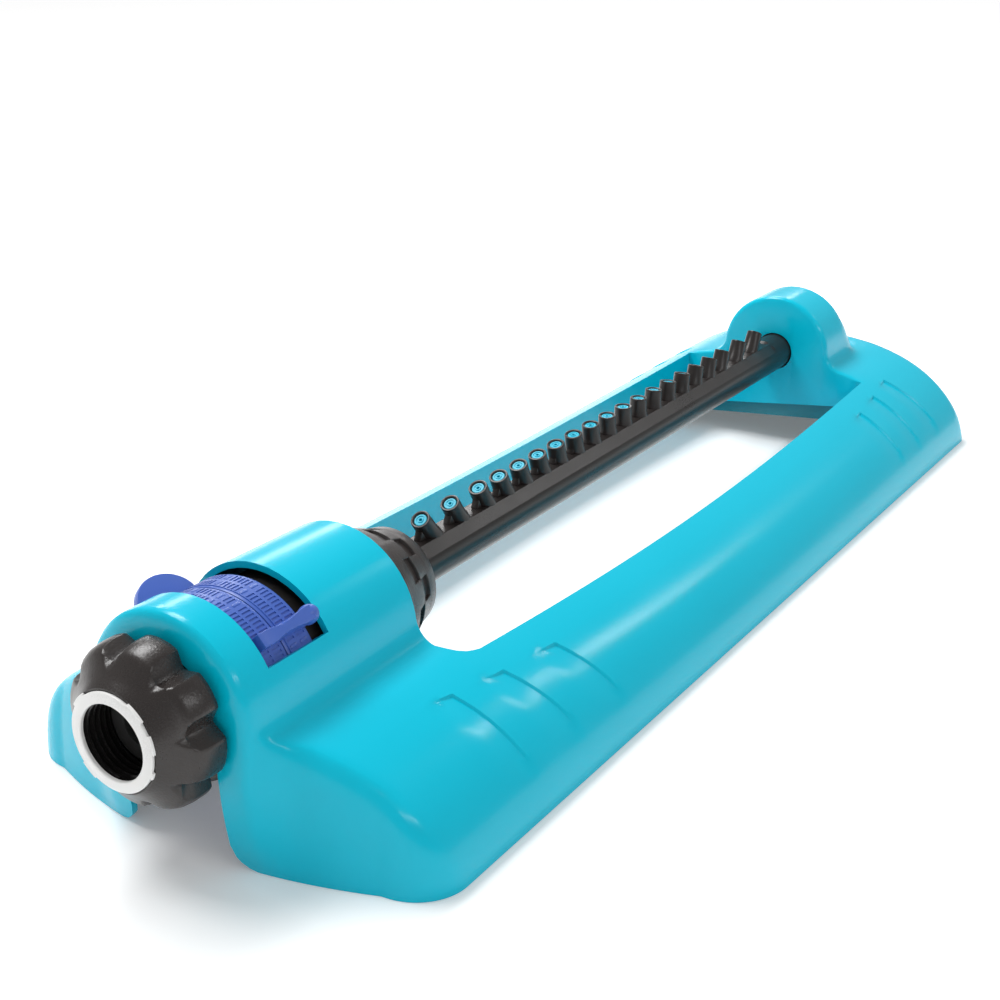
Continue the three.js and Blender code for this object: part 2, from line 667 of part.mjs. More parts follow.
const spoutLength = (index) => spoutRise / Math.cos(spoutPlace(index)[1]);

function sprayTube() {
  const flat = new THREE.Shape();
  const edge = Math.asin(deckHeight / tubeRadius);
  flat.absarc(0, axisHeight, tubeRadius, Math.PI - edge, 2 * Math.PI + edge, false);
  const decked = alongX(flat, tubeStart + 1, deckEnd);
  const tail = rod(deckEnd - 8, tubeEnd - 4, tubeRadius, 24);
  const root = rod(tubeStart, 118, tubeRadius, 24);
  const indexes = [...Array(spoutCount).keys()];
  const spouts = indexes.map((i) => spoutRod(i, -3, spoutLength(i), spoutRadius, 8));
  const bores = indexes.map((i) => spoutRod(i, -5, 20, spoutBore, 8));
  return cut(joined([decked, root, tail, ...spouts]), rod(tubeStart - 1, tubeEnd, tubeBore, 16), ...bores);
}

add('spray_tube', sprayTube(), finishes.black);

// soft strip inside the tube, with a pin up each spout
function nozzleStrip() {
  const strip = box(128, 424, -4.2, 4.2, axisHeight + 2.4, axisHeight + 4.4);
  const indexes = [...Array(spoutCount).keys()];
  const pins = indexes.map((i) => spoutRod(i, -5.2, spoutLength(i) - 0.35, pinRadius, 8));
  return joined([strip, ...pins]);
}

add('nozzle_strip', nozzleStrip(), finishes.jet);
add('tube_end_plug', turned([
  [460, 0], [460, 5.9], [470.3, 5.9], [470.3, 8.8], [474, 8.8], [474, 0],
], 20), finishes.shell);
add('end_plug_oring', hoop(464, 466, 6.1, 6.4, 16), finishes.rubber);

// ---------- far bearing ----------

add('far_bush', turned([
  [450.3, 9.6], [450.3, 13.4], [452.3, 13.4], [452.3, 11.4], [459, 11.4], [459, 9.6], [450.3, 9.6],
], 24), finishes.gear);

function bushRetainer() {
  const plate = new THREE.Shape();
  plate.absarc(19, axisHeight, 5, -Math.PI / 2, Math.PI / 2, false);
  plate.lineTo(-19, axisHeight + 5);
  plate.absarc(-19, axisHeight, 5, Math.PI / 2, 1.5 * Math.PI, false);
  plate.lineTo(19, axisHeight - 5);
  const strap = alongX(plate, 455.9, 458.4);
  const eye = rod(455.9, 458.4, 15, 20);
  return cut(joined([strap, eye]), rod(450, 460, 11.7, 20), ...[-19, 19].map((y) => rod(450, 460, 1.7, 8, y)));
}

add('bush_retainer', bushRetainer(), finishes.black);
[-19, 19].forEach((y, i) => {
  add(`retainer_screw_${i + 1}`, cheeseScrew(459.9, 451.5, 2.7, 1, y, axisHeight), finishes.steel);
});

// origin under the middle of the whole sprinkler, on the ground
group.position.x = -(baseLength + inletFace) / 2;

export default group;
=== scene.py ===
import bpy
import json
import math
from mathutils import Matrix, Vector


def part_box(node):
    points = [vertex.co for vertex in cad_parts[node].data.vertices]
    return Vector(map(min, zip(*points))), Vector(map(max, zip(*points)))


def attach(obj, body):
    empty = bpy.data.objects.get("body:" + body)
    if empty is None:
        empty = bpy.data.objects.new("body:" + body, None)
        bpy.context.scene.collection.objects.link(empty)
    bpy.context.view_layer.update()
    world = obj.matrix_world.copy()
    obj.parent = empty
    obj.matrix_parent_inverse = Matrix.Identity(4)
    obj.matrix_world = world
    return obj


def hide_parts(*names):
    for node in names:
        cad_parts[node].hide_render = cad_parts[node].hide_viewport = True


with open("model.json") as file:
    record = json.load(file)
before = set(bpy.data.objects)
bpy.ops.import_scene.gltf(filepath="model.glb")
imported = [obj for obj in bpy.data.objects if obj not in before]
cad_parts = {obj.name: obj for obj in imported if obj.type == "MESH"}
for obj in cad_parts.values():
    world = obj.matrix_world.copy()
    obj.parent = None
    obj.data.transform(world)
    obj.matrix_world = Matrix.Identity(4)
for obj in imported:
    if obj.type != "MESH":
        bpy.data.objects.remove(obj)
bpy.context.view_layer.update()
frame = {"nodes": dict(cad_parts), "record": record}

# Oscillating lawn sprinkler. Lengths below are millimetres, measured from the near end's foot,
# with y = 0 on the swing axis; at() turns them into the frame's metres.
MM = 0.001
BASE_LENGTH = 512
AXIS = 50.1
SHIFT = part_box("base_shell")[1].x - BASE_LENGTH * MM
POLE = 0.001                      # radius of a turned shape's ring where it closes on its axis
SEAM = 0.01                       # vertices closer than this are one
SLIVER = 0.02                     # faces narrower than this are closed up


def at(x, y, z):
    """A place on the sprinkler."""
    return Vector((x * MM + SHIFT, y * MM, z * MM))


# ---------------------------------------------------------------- working with pieces

def start():
    if bpy.context.object and bpy.context.object.mode != "OBJECT":
        bpy.ops.object.mode_set(mode="OBJECT")
    bpy.ops.object.select_all(action="DESELECT")


def take(piece):
    start()
    piece.select_set(True)
    bpy.context.view_layer.objects.active = piece


def named(name):
    piece = bpy.context.object
    piece.name = name
    piece.data.name = name
    bpy.ops.object.transform_apply(location=True, rotation=True, scale=True)
    return piece


def edit(mode="VERT"):
    bpy.ops.object.mode_set(mode="EDIT")
    bpy.ops.mesh.select_mode(type=mode)


def done():
    bpy.ops.object.mode_set(mode="OBJECT")


def edit_all(piece):
    """Go into edit mode with the whole piece selected."""
    take(piece)
    edit()
    bpy.ops.mesh.select_all(action="SELECT")


def pick(piece, kind, test):
    """Select the faces or edges whose place passes the test, and go into edit mode."""
    take(piece)
    edit({"faces": "FACE", "edges": "EDGE"}[kind])
    bpy.ops.mesh.select_all(action="DESELECT")
    done()
    for part in piece.data.polygons if kind == "faces" else piece.data.edges:
        part.select = test(part)
    bpy.ops.object.mode_set(mode="EDIT")


def modify(piece, kind, **settings):
    take(piece)
    modifier = piece.modifiers.new(kind.lower(), kind)
    for key, value in settings.items():
        setattr(modifier, key, value)
    bpy.ops.object.modifier_apply(modifier=modifier.name)


def soften(piece, width, angle=40, segments=2):
    modify(piece, "BEVEL", width=width * MM, segments=segments, limit_method="ANGLE",
           angle_limit=math.radians(angle), harden_normals=False)


def smooth(piece, angle=35):
    take(piece)
    bpy.ops.object.shade_smooth_by_angle(angle=math.radians(angle))


def outward(piece):
    """Close seams and poles, and point the faces out."""
    edit_all(piece)
    bpy.ops.mesh.remove_doubles(threshold=SEAM * MM)
    bpy.ops.mesh.normals_make_consistent(inside=False)
    done()


def loose(x, y, z):
    """A place for a piece that is modelled by itself and set up later."""
    return Vector((x, y, z)) * MM


def turned(name, profile, sides, y=0, z=AXIS, place=at):
    """A shape turned on the line through (y, z) along X, drawn out ring by ring from (x, radius) pairs."""
    (last_x, last_radius), *rings = [(x, max(radius, POLE)) for x, radius in profile]
    start()
    bpy.ops.mesh.primitive_circle_add(vertices=sides, radius=last_radius * MM, fill_type="NOTHING",
                                      location=place(last_x, y, z), rotation=(0, math.pi / 2, 0))
    piece = named(name)
    edit_all(piece)
    for x, radius in rings:
        bpy.ops.mesh.extrude_region_move(TRANSFORM_OT_translate={"value": ((x - last_x) * MM, 0, 0)})
        bpy.ops.transform.resize(value=(1, radius / last_radius, radius / last_radius),
                                 center_override=place(x, y, z))
        last_x, last_radius = x, radius
    done()
    outward(piece)
    return piece


def block(name, low, high, place=at):
    start()
    middle = [(a + b) / 2 for a, b in zip(low, high)]
    bpy.ops.mesh.primitive_cube_add(size=MM, location=place(*middle))
    bpy.context.object.scale = [b - a for a, b in zip(low, high)]
    return named(name)


def drawn(name, points):
    """A line drawn point by point, in metres, by extruding one vertex."""
    start()
    bpy.ops.mesh.primitive_plane_add(size=MM, location=points[0])
    piece = named(name)
    edit_all(piece)
    bpy.ops.mesh.merge(type="CENTER")
    for last, point in zip(points, points[1:]):
        bpy.ops.mesh.extrude_vertices_move(TRANSFORM_OT_translate={"value": Vector(point) - Vector(last)})
    done()
    return piece


def round_axis(angle):
    """Turn about the swing axis, in degrees from straight up towards the back."""
    centre = Matrix.Translation(at(0, 0, AXIS))
    return centre @ Matrix.Rotation(-math.radians(angle), 4, "X") @ centre.inverted()


def polar(co):
    """Angle from straight up towards the back, in degrees, and distance from the swing axis, in mm."""
    y, z = co.y / MM, co.z / MM - AXIS
    return math.degrees(math.atan2(y, z)), math.hypot(y, z)


def dress(piece, body, slot, *nodes):
    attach(piece, body)
    if nodes:
        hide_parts(*nodes)
    return piece


def copy_of(piece, name, matrix):
    """A copy with its own mesh, its place in the mesh."""
    other = piece.copy()
    other.data = piece.data.copy()
    other.name = name
    other.data.name = name
    bpy.context.scene.collection.objects.link(other)
    other.data.transform(matrix)
    return other


def join(name, pieces):
    start()
    for piece in pieces:
        piece.select_set(True)
    bpy.context.view_layer.objects.active = pieces[0]
    bpy.ops.object.join()
    piece = bpy.context.object
    piece.name = name
    piece.data.name = name
    return piece


def drop_slivers(piece):
    """Close up the needle-thin faces that bevels and cuts leave behind."""
    edit_all(piece)
    bpy.ops.mesh.dissolve_degenerate(threshold=SLIVER * MM)
    done()


def cut(piece, tool):
    modify(piece, "BOOLEAN", operation="DIFFERENCE", solver="EXACT", object=tool)
    bpy.data.objects.remove(tool)


# ---------------------------------------------------------------- base shell

HALF = 86.7
WALL = 2.3
WINDOW_NEAR, WINDOW_FAR, WINDOW_HALF, WINDOW_BOW = 83.5, 447.5, 48.5, 3.4
NEAR_CORNER = 12                  # radius of the window's near corners
CORNER_START, CORNER_EASE = 87.0, 32
FIRST, MIDDLE, LAST = 1, 200, 503   # first and last row, and where the near half ends
LOW_CROWN, NEAR_CROWN, FAR_CROWN = 44.6, 49.5, 47.6
LOW_PLACE, LOW_REACH = 270, 185
NEAR_HUMP, FAR_HUMP = 32.6, 28.6
NEAR_FOOT, FAR_FOOT = 10, 9       # radius of the hollow curve at each hump's foot
TAPER, TAPER_START, TAPER_LENGTH = 1.2, 12, 71
HUMP_BACK, HUMP_FADE = 474, 15    # where the far hump starts to sink, and over what length
ARCH, ARCH_FLARE = 20.8, 9
RIB_SHOWS, RIB_HIDDEN = 7.5, 3    # height of the rib below the far inner wall and behind it
FAR_RIM = 2.4                     # rounding of the far hump's front edge
SLOT = (12.4, 41.5)
SLOT_ANGLE = 61
BOSS_FRONT, BOSS_HALF, BOSS_BLEND, BOSS_LEAN = -5, 28.6, 15, 0.4
NEAR_BOW, NEAR_ROUND, NEAR_ROUND_DEPTH = 0.00287, 19, 18.05
FAR_BOW, FAR_ROUND, FAR_ROUND_DEPTH, FAR_DEPTH = 0.0005, 7, 5, 9
BULGE, STEEP = 2.6, 0.56          # how full the rails' section is, and how steeply it ends
FACE_RISE, FACE_TURN = 0.9, 3.6   # how the end faces turn over into the top
FACE_LEVEL, LEAN_HEIGHT = 0.72, 45
HUMP_ANGLES = [0, 8, 16, 24, 30, 34.5, 37.5, 39.0, 39.65, 42.5, 46, 53, SLOT_ANGLE, 68, 75, 80, 84]
ARCH_COLUMN = HUMP_ANGLES.index(39.65)
SLOT_COLUMN = HUMP_ANGLES.index(SLOT_ANGLE)
COLLAR_COLUMN = HUMP_ANGLES.index(75)
FOOT_STEPS = 7
EDGE_COLUMN = len(HUMP_ANGLES) + FOOT_STEPS + 1
LIP_COLUMN = EDGE_COLUMN + 4
SIDE_STEPS = 26
SIDE_COLUMN = LIP_COLUMN + SIDE_STEPS
SILL = 5                          # rows of the near face below the arch's springing
RIM = 9                           # rows from there to the top
LOUVRES = [(51.1, 62.9), (77.9, 90.2), (105.7, 118.7), (406.2, 417.4), (430.4, 441.0), (453.4, 464.7)]
LOUVRE_DEPTH, LOUVRE_EDGE, LOUVRE_STEP, LOUVRE_CURVE = 1.0, 0.35, 0.6, 0.8
LOUVRE_END, LOUVRE_FADE = 78, 6
SLANT_FROM = 52                   # the rows slant beyond this distance from the middle


def between(value, table):
    """Straight-line reading from a table of [place, value] pairs."""
    if value <= table[0][0]:
        return table[0][1]
    for (a, va), (b, vb) in zip(table, table[1:]):
        if value <= b:
            return va + (vb - va) * (value - a) / (b - a)
    return table[-1][1]


def ease(share):
    """A share from 0 to 1 that starts and ends gently."""
    share = min(max(share, 0), 1)
    return share * share * (3 - 2 * share)


def crown(x):
    """Height of the base at its middle line, without the humps: lowest part way along."""
    away = min(((x - LOW_PLACE) / LOW_REACH) ** 2, 1)
    return LOW_CROWN + ((NEAR_CROWN if x < LOW_PLACE else FAR_CROWN) - LOW_CROWN) * away


def fall(y):
    """Share of the crown's height that is left at a distance from the middle line."""
    return max(1 - min(abs(y) / HALF, 1) ** BULGE, 0) ** STEEP


def hump_section(x, column):
    """y and z of a hump's column: round top, then the hollow curve at its foot."""
    near = x < MIDDLE
    radius = NEAR_HUMP - TAPER * max(x - TAPER_START, 0) / TAPER_LENGTH if near else FAR_HUMP
    foot = NEAR_FOOT if near else FAR_FOOT
    base = crown(x) * fall(radius + foot)
    middle_z = base + foot
    reach = math.sqrt((radius + foot) ** 2 - (middle_z - AXIS) ** 2)
    meet = math.atan2(reach, middle_z - AXIS)
    if column < len(HUMP_ANGLES):
        angle = min(math.radians(HUMP_ANGLES[column]), meet)
        return radius * math.sin(angle), AXIS + radius * math.cos(angle)
    step = (column - len(HUMP_ANGLES) + 1) / FOOT_STEPS
    slope = math.atan((crown(x) * (fall(reach - 2) - fall(reach + 2))) / 4)
    # seen from its own middle, the hollow curve runs from where it leaves the round to the rail's slope
    from_round = math.atan2(AXIS - middle_z, -reach)
    if from_round > 0:
        from_round -= 2 * math.pi
    to_rail = -math.pi / 2 - slope
    angle = from_round + (to_rail - from_round) * step
    return reach + foot * math.cos(angle), middle_z + foot * math.sin(angle)


def window_edge(x):
    """How far from the middle the window's long edge runs at a place along the base."""
    share = min(max((x - WINDOW_NEAR) / (WINDOW_FAR - WINDOW_NEAR), 0), 1)
    edge = WINDOW_HALF + WINDOW_BOW * math.sin(math.pi * share)
    if x < WINDOW_NEAR + NEAR_CORNER:
        from_corner = WINDOW_NEAR + NEAR_CORNER - max(x, CORNER_START)
        arc = WINDOW_HALF - NEAR_CORNER + math.sqrt(NEAR_CORNER ** 2 - from_corner ** 2)
        share = 1 if x >= CORNER_START else ease((x - CORNER_START + CORNER_EASE) / CORNER_EASE)
        edge = arc if share == 1 else WINDOW_HALF + (arc - WINDOW_HALF) * share
    return edge


# where the rails' inner lip runs, and how much the rows slant, as (place along the base, value)
LIP_LINE = [(51, 54.3), (62.9, 55.9), (90, 58.9), (119, 61), (200, 61.5), (406, 60.5), (441, 57.2),
            (465, 54.1), (512, 53)]
SLANT = [(0, 0), (45, 0.1), (62, 0.25), (80, 0.5), (95, 0.6), (120, 0.62), (215, 0), (380, 0.05),
         (406, 0.15), (447, 0.2), (465, 0.35), (512, 0)]

# rows along the base, as places on its middle line: close together at louvres, slot and rims
NEAR_ROWS = [FIRST, 3.5, 6.5, 9.5, 12.4, 17, 22, 27, 32, 37, 41.5, 46, 51.1, 54, 58, 62.3, 62.9, 65.5,
             69.5, 73.5, 77.9, 80.5, WINDOW_NEAR]
RAIL_ROWS = [89.6, 90.2, 92.6, 95.5, 99, 102.5, 105.7, 109.5, 114, 118.1, 118.7, 121.5, 126] \
    + [134 + 9.3 * i for i in range(29)] \
    + [400, 406.2, 410, 413.5, 416.8, 417.4, 420, 425, 430.4, 434, 437.5, 440.4, 441, 444]
FAR_ROWS = [WINDOW_FAR, 448, 448.7, 449.7, 451, 453.4, 457, 460.5, 464.1, 464.7, 467.5, 471, 474.5, 477.5,
            480, 482.5, 485, 487.5, 490, 493, 498, LAST]
FACE_ROWS = SILL + RIM
ALONG = [("near", i) for i in range(FACE_ROWS)] + [("top", x) for x in NEAR_ROWS + RAIL_ROWS + FAR_ROWS] \
    + [("far", i) for i in reversed(range(FACE_ROWS))]
WINDOW_ROW = FACE_ROWS + len(NEAR_ROWS) - 1
WINDOW_END_ROW = WINDOW_ROW + len(RAIL_ROWS) + 1
ROWS = len(ALONG)
COLUMNS = 2 * SIDE_COLUMN + 1


def corner_round(y, size):
    """How far a rounded corner has turned back at a distance from the middle, from 0 to 1."""
    past = max(y - (HALF - size), 0) / size
    return 1 - math.sqrt(max(1 - past * past, 0))


def boss(y):
    """1 on the boss at the middle of the near end, 0 past its flanks."""
    return 1 - ease((y - BOSS_HALF) / BOSS_BLEND)


def near_edge(y):
    """x of the near end's outer face at mid height."""
    bow = NEAR_BOW * min(y, HALF - NEAR_ROUND) ** 2 + NEAR_ROUND_DEPTH * corner_round(y, NEAR_ROUND)
    return bow + (BOSS_FRONT - bow) * boss(y)


def near_lean(y):
    """How far the near end's foot lies behind that face."""
    return (NEAR_BOW * y ** 2 - BOSS_FRONT) * boss(y) - BOSS_LEAN


def near_depth(y):
    """Length over which the near end turns over into the top."""
    return 6 + 3 * ease((y - BOSS_HALF) / BOSS_BLEND)


def far_edge(y):
    """x of the far end's outer face at its foot."""
    bow = FAR_BOW * min(y, HALF - FAR_ROUND) ** 2
    return BASE_LENGTH - bow - FAR_ROUND_DEPTH * corner_round(y, FAR_ROUND)


def column_y(x, column):
    """How far from the middle a column runs at a place along the base."""
    edge = window_edge(x)
    lip = between(x, LIP_LINE)
    if column >= LIP_COLUMN:
        lift = math.acos((lip / HALF) ** (BULGE / 2)) * (1 - (column - LIP_COLUMN) / SIDE_STEPS)
        if column == LIP_COLUMN + 1:
            return lip + LOUVRE_EDGE
        return HALF * math.cos(lift) ** (2 / BULGE)
    if column >= EDGE_COLUMN:
        return edge + (lip - edge) * (column - EDGE_COLUMN) / (LIP_COLUMN - EDGE_COLUMN)
    foot = hump_section(x, EDGE_COLUMN - 2)[0]
    if column == EDGE_COLUMN - 1:
        return (foot + edge) / 2
    return hump_section(x, column)[0]


def top_z(x, y, column):
    """Height of the outer skin, humps included and louvres left out."""
    base = crown(x) * fall(y)
    if column > EDGE_COLUMN - 2:
        return base
    hump = hump_section(x, column)[1]
    if x < MIDDLE:
        return hump
    return base + (hump - base) * (1 - ease((x - HUMP_BACK) / HUMP_FADE))


def louvre(x, y):
    """How deep the louvres are at a place given on the straightened rail."""
    lip = between(x, LIP_LINE)
    for x0, x1 in LOUVRES:
        if x0 < x < x1 - 0.01:
            across = min(max((y - lip) / LOUVRE_EDGE, 0), 1)
            out = 1 - ease((y - LOUVRE_END) / LOUVRE_FADE)
            step = min((x1 - x) / LOUVRE_STEP, 1)
            return LOUVRE_DEPTH * ((x - x0) / (x1 - x0)) ** LOUVRE_CURVE * across * out * step
    return 0


def face_point(row, y, column, near):
    """A point of an end face: rows up to SILL are its lower part, the rest turn over into the top."""
    top = top_z(FIRST if near else LAST, y, column)
    level = min(AXIS, FACE_LEVEL * top) if near else FACE_LEVEL * top
    foot = 0
    if near and column <= ARCH_COLUMN:
        level = AXIS + math.sqrt(max(ARCH ** 2 - y ** 2, 0))
    if near and y < ARCH + ARCH_FLARE and column >= ARCH_COLUMN:
        foot = ARCH_FLARE - math.sqrt(max(ARCH_FLARE ** 2 - (ARCH + ARCH_FLARE - y) ** 2, 0))
    if top < 0.01:
        z = 0
        turn = math.pi / 2 * row / FACE_ROWS
    elif row <= SILL:
        z = foot + (level - foot) * row / SILL
        turn = math.asin(min(z / top, 1) ** (1 / FACE_RISE))
    else:
        low = math.asin(min(level / top, 1) ** (1 / FACE_RISE))
        turn = low + (math.pi / 2 - low) * (row - SILL) / RIM
        z = top * math.sin(turn) ** FACE_RISE
    inward = 1 - math.cos(turn) ** (2 / FACE_TURN)
    if near:
        lean = near_lean(y) * max(1 - z / LEAN_HEIGHT, 0) ** 2
        return near_edge(y) + near_depth(y) * inward + lean, z
    return far_edge(y) - FAR_DEPTH * inward, z


def rounded_rim(behind, y, z, column):
    """Turn the far hump's front edge over: a point close behind the front face sinks along the surface."""
    drop = FAR_RIM - math.sqrt(FAR_RIM ** 2 - (FAR_RIM - behind) ** 2)
    on_foot = min(max((column - len(HUMP_ANGLES) + 1) / FOOT_STEPS, 0), 1)
    drop *= 1 - 0.5 * max(column - EDGE_COLUMN + 2, 0)
    radius = math.hypot(y, z - AXIS)
    y -= drop * (1 - on_foot) * y / radius
    z -= drop * (on_foot + (1 - on_foot) * (z - AXIS) / radius)
    return y, z


def shell_point(row, column):
    """x, y and z of a grid point of the outer skin, for a column on the back half."""
    kind, place = ALONG[row]
    if kind != "top":
        near = kind == "near"
        y = column_y(FIRST if near else LAST, column)
        x, z = face_point(place, y, column, near)
        return x, y, z
    y = column_y(place, column)
    first = near_edge(y) + near_depth(y)
    last = far_edge(y) - FAR_DEPTH
    past = max(y - SLANT_FROM, 0)
    if place <= WINDOW_NEAR:
        x = first + (WINDOW_NEAR - first) * (place - FIRST) / (WINDOW_NEAR - FIRST)
    elif place >= WINDOW_FAR:
        x = WINDOW_FAR + (last - WINDOW_FAR) * (place - WINDOW_FAR) / (LAST - WINDOW_FAR)
    else:
        x = place
    if row == WINDOW_ROW:
        if column < EDGE_COLUMN:
            corner = WINDOW_HALF - NEAR_CORNER
            x = WINDOW_NEAR + NEAR_CORNER - math.sqrt(NEAR_CORNER ** 2 - max(y - corner, 0) ** 2)
        else:
            y = column_y(CORNER_START, column)
            x = CORNER_START - min((column - EDGE_COLUMN) / 4, 1)
    x += between(place, SLANT) * past
    z = top_z(x, y, column)
    if WINDOW_FAR <= place < WINDOW_FAR + FAR_RIM and column < EDGE_COLUMN:
        y, z = rounded_rim(place - WINDOW_FAR, y, z, column)
    if column >= EDGE_COLUMN:
        z = crown(x) * fall(y) - louvre(CORNER_START - 0.5 if row == WINDOW_ROW else place, y)
    return x, y, z


def in_window(row, column):
    return WINDOW_ROW <= row < WINDOW_END_ROW and column < EDGE_COLUMN


def lip_level(y):
    """Lower edge of the rib behind the far inner wall, higher towards the front."""
    return 14 - 5 * min(max(y / 38.5, -1), 1)


def far_rib():
    """Rib that hangs just behind the window's far wall and shows below it, in the darker plastic that paints
    the shade there.
    """
    rib = block("far_rib", (450.2, -50, 0), (452.0, 50, 1))
    edit_all(rib)
    bpy.ops.mesh.bisect(plane_co=at(0, 0, 0), plane_no=(0, 1, 0))
    done()
    for vert in rib.data.vertices:
        y = vert.co.y / MM
        upper = vert.co.z > 0.5 * MM
        vert.co.z = (lip_level(y) + (RIB_SHOWS + RIB_HIDDEN if upper else 0)) * MM
    soften(rib, 0.4)
    smooth(rib, 40)
    return rib


def shell_skin():
    """The outer skin as one grid moved into place, and the row and column of each of its vertices."""
    start()
    bpy.ops.mesh.primitive_grid_add(x_subdivisions=ROWS - 1, y_subdivisions=COLUMNS - 1, size=2,
                                    location=(0, 0, 0))
    shell = named("shell_body")
    places = {}
    for vert in shell.data.vertices:
        row = round((vert.co.x + 1) / 2 * (ROWS - 1))
        column = round((vert.co.y + 1) / 2 * (COLUMNS - 1)) - SIDE_COLUMN
        places[vert.index] = (row, column)
    for vert in shell.data.vertices:
        row, column = places[vert.index]
        x, y, z = shell_point(row, abs(column))
        vert.co = at(x, math.copysign(y, column), z)
    return shell, places


def mark_window_edge(shell, places):
    """Number the vertices round the window: 2 under the tube's collar, 1 on the rest, 0 elsewhere."""
    marks = shell.data.attributes.new("window_edge", "INT", "POINT")
    for index, (row, column) in places.items():
        across = row in (WINDOW_ROW, WINDOW_END_ROW) and abs(column) <= EDGE_COLUMN
        along = WINDOW_ROW <= row <= WINDOW_END_ROW and abs(column) == EDGE_COLUMN
        if across or along:
            marks.data[index].value = 2 if row == WINDOW_ROW and abs(column) < COLLAR_COLUMN else 1


def open_skin(shell, places):
    """Take out the faces of the window, the ring slot and the hose arch."""
    slot_rows = [FACE_ROWS + NEAR_ROWS.index(x) for x in SLOT]

    def is_open(face):
        cells = [places[v] for v in face.vertices]
        row = min(r for r, _ in cells)
        column = max(abs(c) for _, c in cells)
        if in_window(row, column - 1) and max(r for r, _ in cells) <= WINDOW_END_ROW:
            return True
        if column <= SLOT_COLUMN and slot_rows[0] <= row < slot_rows[1]:
            return True
        return row < SILL and column <= ARCH_COLUMN

    pick(shell, "faces", is_open)
    bpy.ops.mesh.delete(type="FACE")
    bpy.ops.mesh.select_all(action="SELECT")
    bpy.ops.mesh.remove_doubles(threshold=0.004 * MM)
    done()


def window_walls(shell):
    """Draw the window's edge down to the ground, or to just above the rib's lower edge at its far end."""
    edit()
    bpy.ops.mesh.select_all(action="DESELECT")
    bpy.ops.mesh.select_mode(type="EDGE")
    bpy.ops.mesh.select_non_manifold()
    done()
    marks = shell.data.attributes["window_edge"]
    walls = set()
    for edge in shell.data.edges:
        numbers = [marks.data[v].value for v in edge.vertices]
        if edge.select and all(numbers) and 1 in numbers:
            walls.add(edge.index)
    pick(shell, "edges", lambda edge: edge.index in walls)
    bpy.ops.mesh.extrude_edges_move()
    done()
    for vert in shell.data.vertices:
        if vert.select:
            on_far_wall = abs(vert.co.x - at(WINDOW_FAR, 0, 0).x) < 0.1 * MM
            vert.co.z = (lip_level(vert.co.y / MM) + RIB_SHOWS if on_far_wall else 0) * MM
    shell.data.attributes.remove(shell.data.attributes["window_edge"])


def base_shell():
    shell, places = shell_skin()
    mark_window_edge(shell, places)
    open_skin(shell, places)
    window_walls(shell)
    outward(shell)
    if sum(face.normal.z * face.area for face in shell.data.polygons) < 0:
        edit_all(shell)
        bpy.ops.mesh.flip_normals()
        done()
    # one slot for the outside and one for the inside, whose darker plastic is painted shade
    shell.data.materials.append(None)
    shell.data.materials.append(None)
    modify(shell, "SOLIDIFY", thickness=WALL * MM, offset=-1, use_even_offset=False, material_offset=1)
    for vert in shell.data.vertices:
        vert.co.z = max(vert.co.z, 0)
    soften(shell, 0.7, angle=75)
    soften(shell, 0.13, angle=36, segments=1)
    cut(shell, turned("tube_hole", [(440, 0), (440, 9.7), (456, 9.7), (456, 0)], 48))
    drop_slivers(shell)
    smooth(shell, 30)
    return shell


shell = dress(base_shell(), "base", "shell_plastic", "base_shell")
rib = dress(far_rib(), "base", "shell_plastic")

# ---------------------------------------------------------------- hose nut

LOBES, LOBE_PHASE = 8, -10
LOBE_HALF = 180 / LOBES
LOBE_START, LOBE_RUN = -20.6, 5.5     # where the lobes begin, and over what length they rise
LOBE_ROLL, VALLEY, VALLEY_SHARE = 1.5, 2.9, 0.46
NUT_BACK, NUT_MOUTH = -5.6, -24.5
NUT_BODY = [(NUT_MOUTH, 17.0), (-21.5, 19.6), (-19.0, 22.6), (-17.4, 25.2), (-16.0, 26.4), (-14.0, 27.2),
            (-11, 27.6), (-7.0, 27.6), (-5.9, 27.2), (NUT_BACK, 26.6)]


def hose_nut():
    """Hose nut with eight finger lobes that fade out towards its mouth."""
    outside = [NUT_BACK, -5.9, -7, -8.2, -9.6, -11, -12.5, -14, -15, -16, -16.7, -17.4, -18.2, -19, -19.8,
               -20.6, -21.5, -22.5, -23.5, -24.3]
    nut = turned("hose_nut", [(NUT_BACK, 9.6)] + [(x, between(x, NUT_BODY)) for x in outside] + [
        (NUT_MOUTH, 17.0), (NUT_MOUTH, 16.5), (-23.8, 16.5), (-23.8, 14.7), (-9.8, 14.7), (-9.8, 9.6),
        (NUT_BACK, 9.6)], 288)
    for vert in nut.data.vertices:
        x = (vert.co.x - SHIFT) / MM
        angle, radius = polar(vert.co)
        if radius < 17.5:
            continue
        off = abs((angle - LOBE_PHASE + LOBE_HALF) % (2 * LOBE_HALF) - LOBE_HALF) / LOBE_HALF
        reach = ease((x - LOBE_START) / LOBE_RUN)
        leaf = 1 - VALLEY_SHARE * math.sqrt(reach)
        drop = LOBE_ROLL * reach * off ** 2.4
        if off > leaf:
            drop += VALLEY * reach * math.sin(math.pi / 2 * (off - leaf) / (1.001 - leaf))
        grown = radius - drop
        vert.co.y *= grown / radius
        vert.co.z = (AXIS + (vert.co.z / MM - AXIS) * grown / radius) * MM
    smooth(nut, 22)
    return nut


